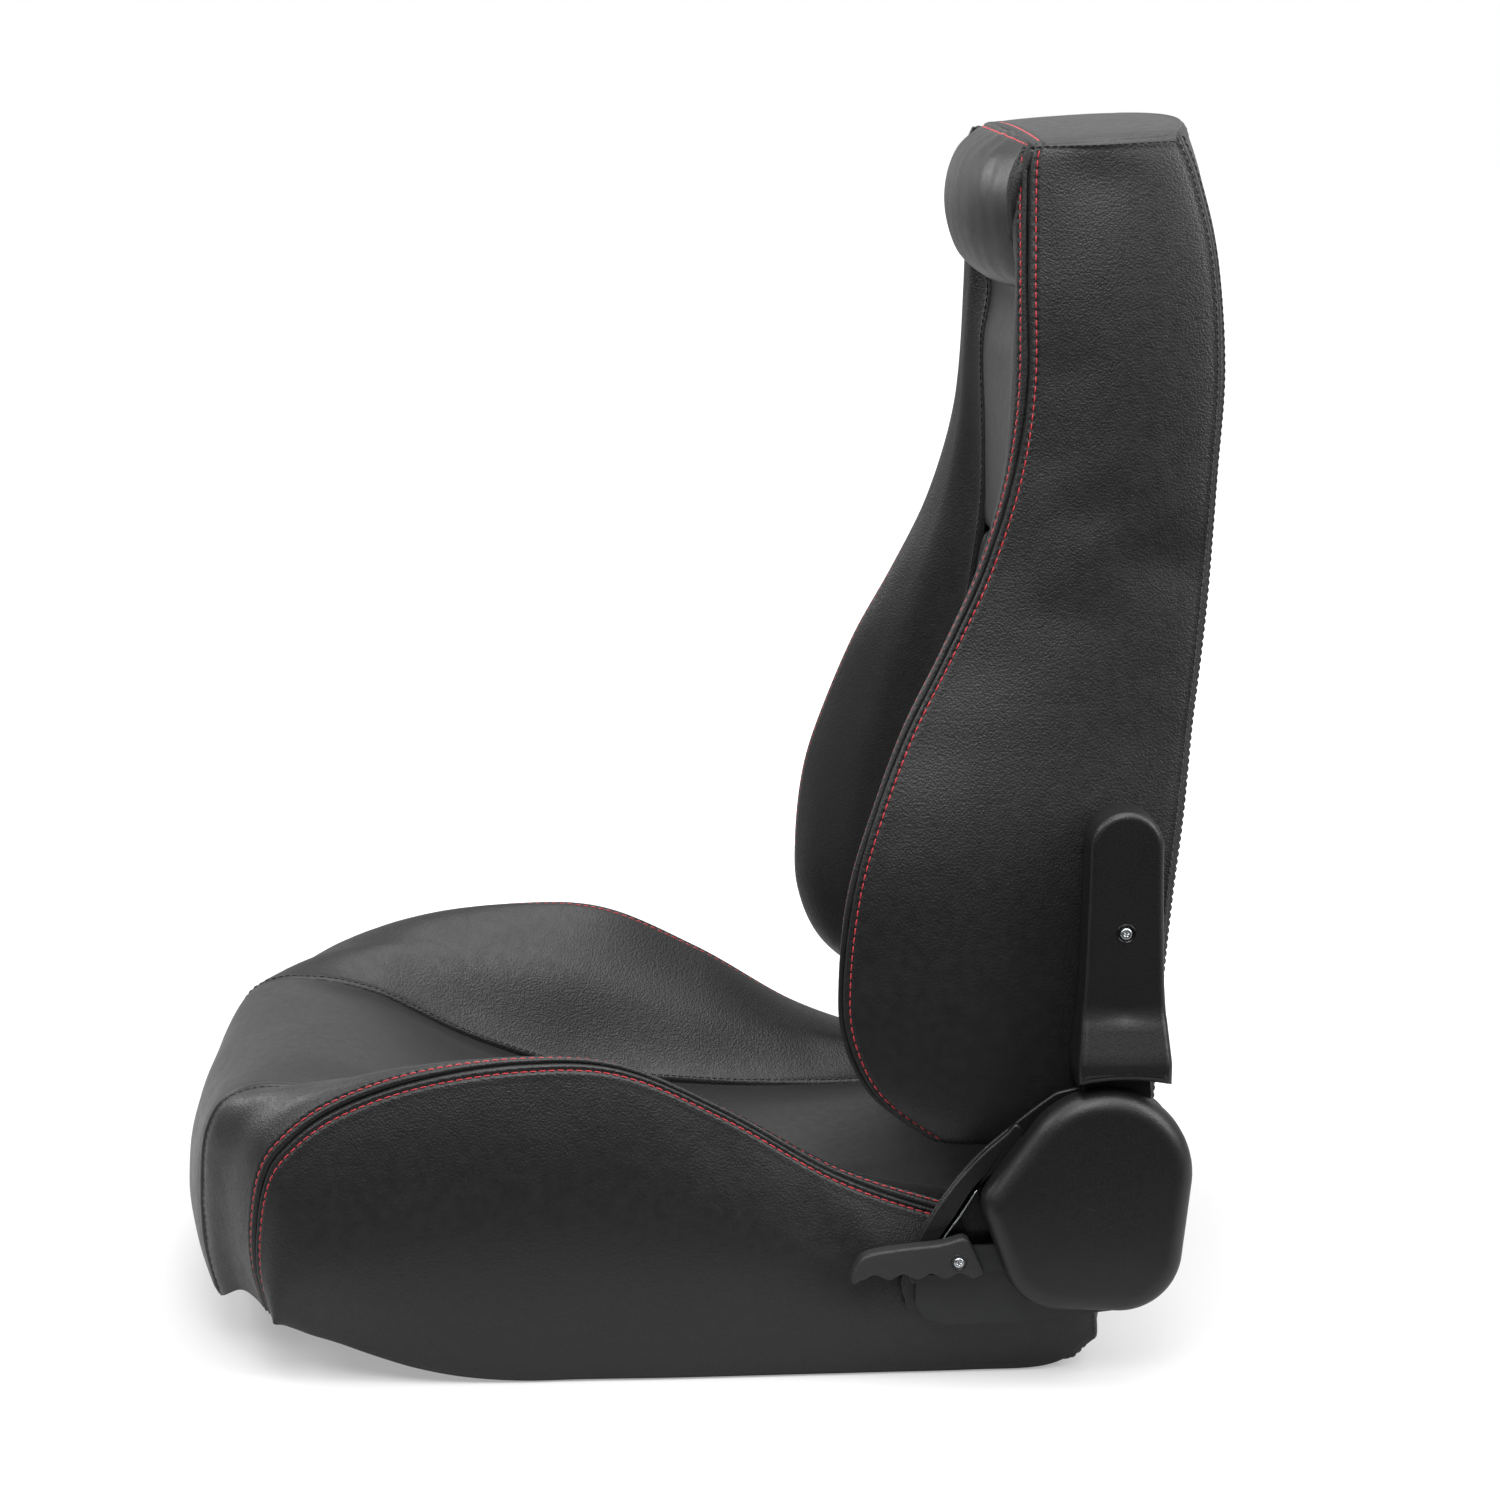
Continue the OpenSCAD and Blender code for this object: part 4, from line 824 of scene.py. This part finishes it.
def insetLoop(loop, inset):                  # moved in by small relaxed steps, so that corners don't cross
    count = max(1, math.ceil(abs(inset) / 0.6))
    for _ in range(count if inset else 0):
        ahead, behind = np.roll(loop, -1, axis=0), np.roll(loop, 1, axis=0)
        aim = ahead - behind
        aim /= np.linalg.norm(aim, axis=1, keepdims=True)
        loop = loop + inset / count * asPoints(-aim[:, 1], aim[:, 0])
        loop = 0.8 * loop + 0.1 * (np.roll(loop, -1, axis=0) + np.roll(loop, 1, axis=0))
    return loop


def ringsMesh(name, rings, material, mirrored=False):   # a closed solid through closed rings of equal count
    n = len(rings[0])
    points = np.concatenate(rings).astype(float) * ([-1, 1, 1] if mirrored else 1)
    faces = []
    for r in range(len(rings) - 1):
        for i in range(n):
            j = (i + 1) % n
            faces.append([r * n + i, r * n + j, (r + 1) * n + j, (r + 1) * n + i])
    faces += [list(range(n - 1, -1, -1)), list(range((len(rings) - 1) * n, len(rings) * n))]
    mesh = bpy.data.meshes.new(name)
    mesh.from_pydata(points * mm, [], faces)
    shape = bmesh.new()
    shape.from_mesh(mesh)
    bmesh.ops.triangulate(shape, faces=[f for f in shape.faces if len(f.verts) > 4])
    bmesh.ops.recalc_face_normals(shape, faces=shape.faces)
    shape.to_mesh(mesh)
    shape.free()
    mesh.shade_smooth()
    mesh.materials.append(material)
    return linkObject(name, mesh)


def ringAt(loop, x):                         # the loop as 3-D points at x, one value or one for each point
    return asPoints(x, loop[:, 0], loop[:, 1])


def ringSet(loop, steps):                    # a ring for each (inset, x)
    return [ringAt(insetLoop(loop, inset), x) for inset, x in steps]


def edgeSteps(radius, count):                # (inset, drop) round a quarter circle, from the wall to the face
    turns = np.linspace(0, math.pi / 2, count)
    return [(radius * (1 - math.cos(a)), radius * (1 - math.sin(a))) for a in turns]


def window(value, low, high, soft):      # 1 between low and high, fading to 0 over soft
    return np.clip((value - low) / soft, 0, 1) * np.clip((high - value) / soft, 0, 1)


def placed(origin, points):                  # the points as tuples, moved by the origin
    return [tuple(origin + np.array(p)) for p in points]


shellLook = {"inner": 257.0, "face": 286.0, "wall": 2.5, "edge": 14.0, "crown": 1.2, "slotTop": 262.5,
             "rounds": [((0, 0), 62), ((12, -56), 44), ((-30, -56), 42), ((-62, -22), 24)]}


def shellRings(look, leverSlot):
    loop = roundedHull([(pivot + c, r) for c, r in look["rounds"]], 260)
    aim = np.degrees(np.arctan2(loop[:, 1] - pivot[1], loop[:, 0] - pivot[0]))
    slot = np.clip((np.minimum(aim + 10, 158 - aim)) / 2.5, 0, 1)     # the arm swings in this part of the rim
    rim = look["inner"] + (look["slotTop"] - look["inner"]) * slot
    if leverSlot:
        lever = window(loop[:, 1] - shaft[1], -42, 8, 3) * (loop[:, 0] < shaft[0])
        rim = np.maximum(rim, look["inner"] + 9.5 * lever)
    middle = loop.mean(axis=0)
    w, e = look["wall"], look["edge"]
    face = look["face"] - look["crown"]
    rings = ringSet(loop, [(w + e - 3, face - w)])
    rings += ringSet(loop, [(w + i, face - w - d) for i, d in reversed(edgeSteps(e - 3, 6))])
    rings += ringSet(loop, [(w, rim + 0.4), (w - 0.5, rim), (0.6, rim), (0.15, rim + 0.25), (0, rim + 0.9),
                            (0, np.maximum(rim + 2, 265.0))])
    rings += ringSet(loop, [(i, face - d) for i, d in edgeSteps(e, 10)])
    inner = insetLoop(loop, e)
    for k in (0.97, 0.9, 0.78, 0.62, 0.42, 0.2, 0.03):
        rings.append(ringAt(middle + (inner - middle) * k, face + look["crown"] * (1 - k ** 2)))
    return rings


backingLook = {
    "inner": 248.5, "thick": 3.0, "bandFace": 256.2, "beadRadius": 0.7,
    "edge": [(-26, 56), (-40, 49), (-68, 27), (-86, 11), (-103, -9), (-117, -29), (-131, -53), (-139, -75),
             (-141, -86), (-138, -96), (-131, -104), (-60, -106), (10, -103), (50, -80), (60, -20), (61, 10),
             (40, 46), (10, 60)],
    "band": [(-60, 33), (-68, 26), (-86, 10), (-103, -10), (-117, -30), (-130, -53), (-137, -74), (-132, -84),
             (-124, -76), (-114.4, -55.4), (-101, -35), (-88, -14.5), (-76, -3), (-60, 8), (-52, 20)],
    "bead": [(-121, -70), (-114.4, -55.4), (-108, -45), (-101, -35), (-94, -24), (-88, -14.5)],
    "recess": [(-80, -8), (-92, -24), (-112, -56), (-100, -58), (-74, -56), (-70, -30)],
}


def beadRings(path, x, radius):              # a thin round lip along a path
    path = splineAt(np.array(path, float), np.linspace(0, len(path) - 1, 40))
    aim = np.gradient(path, axis=0)
    aim /= np.linalg.norm(aim, axis=1, keepdims=True)
    rings = []
    for i, (p, a) in enumerate(zip(path, aim)):
        size = radius * min(1, 0.15 + 0.4 * min(i, len(path) - 1 - i))
        across, out = unitCircle(12)[1].T * size
        rings.append(asPoints(x + out, p[0] - a[1] * across, p[1] + a[0] * across))
    return rings


def plateRings(loop, low, high, edge):       # a flat plate with rounded edges on its outer side
    rounded = [(i, high - d) for i, d in edgeSteps(edge, 6)]
    rounded += [(edge + 0.6, high), (edge + 1.6, high)]
    return ringSet(loop, [(1.5, low), (0.1, low), (0, low + 0.1)] + rounded)


def joinPieces(name, pieces):
    shape = bmesh.new()
    for piece in pieces:
        shape.from_mesh(piece.data)
    mesh = bpy.data.meshes.new(name)
    shape.to_mesh(mesh)
    shape.free()
    mesh.materials.append(pieces[0].data.materials[0])
    for piece in pieces:
        bpy.data.objects.remove(piece)
    return linkObject(name, mesh)


armLook = {"inner": 236.0, "face": 270.0, "skirtFace": 282.0, "wall": 2.5, "edge": 5.0, "y": 291.0,
           "top": 392.0, "round": 26.0, "stepTop": 271.0, "stepLow": 240.5, "bottomHalf": 33.0, "foot": 228.5}


def armRings(look):
    y0, top, r, w, foot = look["y"], look["top"], look["round"], look["wall"], look["bottomHalf"]
    low, step = look["stepLow"], look["stepTop"]
    arch = [(y0 + r * math.cos(a), top + r * math.sin(a)) for a in np.linspace(0, math.pi, 41)]
    heights = [top - 14 * k for k in range(1, 9)]
    heights += [step + 1, step - 1, 263, 255, 248, low + 1, low - 1, low - 6]
    halves = np.interp(heights, [low, step + 20, top - 20], [foot, 28.2, r])
    left = [(y0 - half, z) for half, z in zip(halves, heights)]
    right = [(y0 + half, z) for half, z in zip(halves, heights)]
    bottom = [(y0 + foot * k, look["foot"] - 3.5 * k ** 2) for k in np.linspace(-1, 1, 23)]
    loop = np.array(arch + left + bottom + right[::-1])
    spine = asPoints(y0, np.clip(loop[:, 1], 234, top))

    def sunk(p, drop):                       # the loop p below the stepped face
        faces = [look["skirtFace"], look["face"] + 2.2, look["face"]]
        face = np.interp(p[:, 1], [low, step - 0.8, step + 0.8], faces)
        return ringAt(p, face - drop)

    def cap(edge, shares, drop):
        return [sunk(spine + (edge - spine) * k, drop) for k in shares]
    rings = cap(insetLoop(loop, w + 2), (0.03, 0.5, 1.0), w) + [sunk(insetLoop(loop, w), w + 2)]
    rings += ringSet(loop, [(w, look["inner"] + 0.3), (w - 0.4, look["inner"]), (0.4, look["inner"]),
                            (0, look["inner"] + 0.4), (0, 252)])
    rings += [sunk(insetLoop(loop, i), d) for i, d in edgeSteps(look["edge"], 8)]
    return rings + cap(insetLoop(loop, look["edge"]), (0.97, 0.85, 0.6, 0.35, 0.15, 0.02), 0)


gripLook = {"inner": 257.5, "face": 271.0, "edge": 2.4, "length": 96.0, "waves": 4, "waveHeight": 2.0,
            "crown": 0.5, "root": shaft + [-36, -38]}


def gripRings(look):
    size, root = look["length"], look["root"]
    top = [(-14, 28), (-18, 28.5), (-33, 24.5), (-62, 21.5), (-size + 12, 17.5), (-size + 4, 9),
           (-size + 0.5, 0), (-size + 3, -4)]
    waves = 2 * math.pi * look["waves"]
    wavy = [(-size + 8 + t * (size - 16), 0.5 - look["waveHeight"] * math.cos(waves * t))
            for t in np.linspace(0, 1, 25)]
    loop = smoothLoop(placed(root, top + wavy + [(-4, 0), (-1, 2), (-2, 6), (-11, 25)]), 300)
    spine = asPoints(np.clip(loop[:, 0], root[0] - size + 8, root[0] - 12), 0)
    spine[:, 1] = root[1] + np.interp(spine[:, 0] - root[0], [-size + 8, -62, -12], [4, 10, 13])
    edgeLoop = insetLoop(loop, look["edge"])

    def cap(shares, x, crown):
        return [ringAt(spine + (edgeLoop - spine) * k, x + crown * (1 - k ** 2)) for k in shares]
    rings = cap((0.6, 0.9), look["inner"], 0)
    rings += ringSet(loop, [(i, look["inner"] + d) for i, d in reversed(edgeSteps(look["edge"], 6))])
    rings += ringSet(loop, [(i, look["face"] - d) for i, d in edgeSteps(look["edge"], 7)])
    return rings + cap((0.9, 0.75, 0.6), look["face"], look["crown"])


def screwSeat(name, at, x, radius, mirrored):   # a glossy well round a screw, with a raised rim, made near-black as painted shade in the well
    circle = unitCircle(48)[1]
    steps = ((0.4, 0.06), (radius - 1.5, 0.06), (radius - 1.2, 0.3), (radius - 0.8, 0.55),
             (radius - 0.3, 0.45), (radius, -0.1), (radius, -0.8), (0.4, -0.8))
    rings = [ringAt(np.array(at) + circle * r, x + dx) for r, dx in steps]
    return ringsMesh(name, rings, paintedShadePlastic, mirrored)


def crossScrew(name, at, x, radius, angle, mirrored):   # a pan head with a cross recess
    turn, circle = unitCircle(64)
    cross = np.minimum(np.abs(np.sin(2 * (turn - angle))), 1)
    head = ((0.05, -1.6), (1.0, -1.6), (1.0, 0.0), (0.93, 0.5), (0.8, 0.85), (0.62, 1.05))
    rings = [ringAt(np.array(at) + circle * r * radius, x + h) for r, h in head]
    for r, depth in ((0.5, 0.25), (0.35, 0.8), (0.15, 1.2), (0.03, 1.3)):
        height = 1.1 - depth * (1 - cross) - 0.1 * (1 - r)
        rings.append(ringAt(np.array(at) + circle * r * radius, x + height))
    return ringsMesh(name, rings, zincSteel, mirrored)


armScrewAt = (armLook["y"], 332)
for side, mirrored in (("Left", False), ("Right", True)):
    low = side.lower()
    shell = ringsMesh("reclinerCover" + side, shellRings(shellLook, not mirrored), coverPlastic, mirrored)
    mount(shell, "seat_base", "outer_cover_" + low)
    inner = backingLook["inner"]
    plateLoop = smoothLoop(placed(pivot, backingLook["edge"])[::-1], 240)
    bandLoop = smoothLoop(placed(pivot, backingLook["band"])[::-1], 160)
    if np.cross(plateLoop[1] - plateLoop[0], plateLoop.mean(axis=0) - plateLoop[0]) < 0:
        plateLoop, bandLoop = plateLoop[::-1], bandLoop[::-1]
    plate = plateRings(plateLoop, inner, inner + backingLook["thick"], 1.4)
    band = plateRings(bandLoop, inner + 2, backingLook["bandFace"], 1.6)
    backing = joinPieces("backingPlate" + side, [ringsMesh("plate", plate, coverPlastic, mirrored),
                                                 ringsMesh("band", band, coverPlastic, mirrored)])
    mount(backing, "seat_base", "backing_cover_" + low)
    arm = ringsMesh("armCover" + side, armRings(armLook), coverPlastic, mirrored)
    mount(arm, "backrest", "arm_cover_" + low)
    bead = beadRings(placed(pivot, backingLook["bead"]), backingLook["bandFace"], backingLook["beadRadius"])
    mount(ringsMesh("bracketEdge" + side, bead, zincSteel, mirrored), "seat_base")
    # a near-black plate in the backing's recess: painted shade for the shadow inside it
    recess = plateRings(smoothLoop(placed(pivot, backingLook["recess"]), 80), inner + 2, inner + 3.6, 0.4)
    mount(ringsMesh("backingRecess" + side, recess, paintedShadePlastic, mirrored), "seat_base")
    well = screwSeat("armScrewSeat" + side, armScrewAt, armLook["face"], 7.0, mirrored)
    mount(well, "backrest")
    screw = crossScrew("armScrew" + side, armScrewAt, armLook["face"] + 0.4, 4.2, 0.6, mirrored)
    mount(screw, "backrest", "arm_cover_screws" if mirrored else None)
gripScrewAt = shaft + [-55, -27]
mount(ringsMesh("leverGrip", gripRings(gripLook), gripPlastic), "lever", "lever_grip")
mount(screwSeat("gripScrewSeat", gripScrewAt, gripLook["face"], 6.2, False), "lever")
gripScrew = crossScrew("gripScrewHead", gripScrewAt, gripLook["face"] + 0.2, 3.8, 0.3, False)
mount(gripScrew, "lever", "grip_screw")
print("moulded covers made")


zincNodes = {"recliner_bolts", "pivot_pins", "pawl_pins", "lever_spring", "release_cams", "arm_spacers",
             "arm_bolts"}
for name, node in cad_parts.items():
    if node.hide_render:
        continue
    finish = zincSteel if name in zincNodes else paintedSteel
    if not node.material_slots:
        node.data.materials.append(finish)
    for materialSlot in node.material_slots:
        materialSlot.material = finish
print("steel painted")


studio = {"lens": 91.2, "keyPower": 80.0, "fillPower": 54.0, "frontPower": 24.0, "edgePower": 20.0,
          "rimPower": 46.0, "floorFront": 0.5, "floorGlow": (0.36, 0.95), "ambient": 0.07,
          "backdropGlow": 0.40, "ceilingGlow": 0.45}

sweep = bpy.data.meshes.new("studioFloor")
front = studio["floorFront"]
sweep.from_pydata([(-15, -15, 0), (front, -15, 0), (front, 15, 0), (-15, 15, 0)], [], [(0, 1, 2, 3)])
floor = linkObject("studioFloor", sweep)
paper, paperTree, paperPlace = startMaterial("seamlessPaper", {"Roughness": 0.85,
                                                               "Emission Color": (1, 1, 1, 1)})
dressMaterial(paperTree, addNode(paperTree, "ShaderNodeTexNoise", {"Vector": paperPlace, "Scale": 3.0}),
              "#b4b4b4", "#bababa")
# the floor glows for camera rays only, less near the seat: a painted shadow round the seat's foot
fromSeat = addNode(paperTree, "ShaderNodeVectorMath", {0: paperPlace}, "Value", operation="LENGTH")
glowWithPaintedShadow = addNode(paperTree, "ShaderNodeMapRange",
                {"Value": fromSeat, 1: 0.45, 2: 1.5, 3: studio["floorGlow"][0], 4: studio["floorGlow"][1]})
paperSeen = addNode(paperTree, "ShaderNodeLightPath", out="Is Camera Ray")
paperGlow = addNode(paperTree, "ShaderNodeMath", {0: paperSeen, 1: glowWithPaintedShadow}, operation="MULTIPLY")
paperTree.links.new(paperGlow, paperTree.nodes["Principled BSDF"].inputs["Emission Strength"])
floor.data.materials.append(paper)
floor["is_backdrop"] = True

world = bpy.data.worlds.new("studioWorld")           # a white backdrop, a bright ceiling and a dimmer room
world.use_nodes = True
sky = world.node_tree
x, _, z = addNode(sky, "ShaderNodeSeparateXYZ", {"Vector": addNode(sky, "ShaderNodeTexCoord")}, None)
backdrop = addNode(sky, "ShaderNodeMapRange", {"Value": x, 1: 0.2, 2: -0.7, 3: 0, 4: studio["backdropGlow"]})
ceiling = addNode(sky, "ShaderNodeMapRange", {"Value": z, 1: 0.0, 2: 0.8, 3: 0, 4: studio["ceilingGlow"]})
lit = addNode(sky, "ShaderNodeMath", {0: backdrop, 1: ceiling}, operation="ADD")
glow = addNode(sky, "ShaderNodeMath", {0: lit, 1: studio["ambient"]}, operation="ADD")
seen = addNode(sky, "ShaderNodeLightPath", out="Is Camera Ray")
brightness = addNode(sky, "ShaderNodeMath", {0: glow, 1: seen}, operation="MAXIMUM")
sky.links.new(brightness, sky.nodes["Background"].inputs["Strength"])
sky.nodes["Background"].inputs["Color"].default_value = (1, 1, 1, 1)
bpy.context.scene.world = world
bpy.context.scene.view_settings.view_transform = "Standard"


def softbox(name, place, target, size, power):
    data = bpy.data.lights.new(name, "AREA")
    data.shape, data.size, data.size_y, data.energy = "RECTANGLE", size[0], size[1], power
    lamp = linkObject(name, data)
    lamp.location = place
    lamp.rotation_euler = (Vector(target) - Vector(place)).to_track_quat("-Z", "Y").to_euler()


softbox("keyAbove", (0.4, 0.3, 3.0), (0, 0, 0.4), (2.4, 3.0), studio["keyPower"])
softbox("fillSide", (2.5, -0.3, 2.7), (0.1, 0.1, 0.6), (1.6, 1.2), studio["fillPower"])
softbox("fillFront", (0.9, -2.2, 2.2), (0, 0.2, 0.8), (1.2, 1.0), studio["frontPower"])
softbox("edgeFront", (-1.6, -2.1, 1.9), (0, 0.1, 0.75), (0.8, 1.2), studio["edgePower"])
softbox("rimBehind", (1.2, 2.2, 1.6), (0.1, 0.2, 0.5), (1.0, 1.8), studio["rimPower"])

lens = bpy.data.cameras.new("camera")
lens.lens, lens.sensor_width = studio["lens"], 36.0
camera = linkObject("camera", lens)
right, up = (0.05913999, 0.9982497, 0), (-0.20441865, 0.01211051, 0.97880864)
out, at = (0.97709543, -0.05788673, 0.20477707), (2.8020, -0.1203, 0.9961)
camera.matrix_world = Matrix([[right[i], up[i], out[i], at[i]] for i in range(3)] + [[0, 0, 0, 1]])
bpy.context.scene.camera = camera

low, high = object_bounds()
print("scene ready")
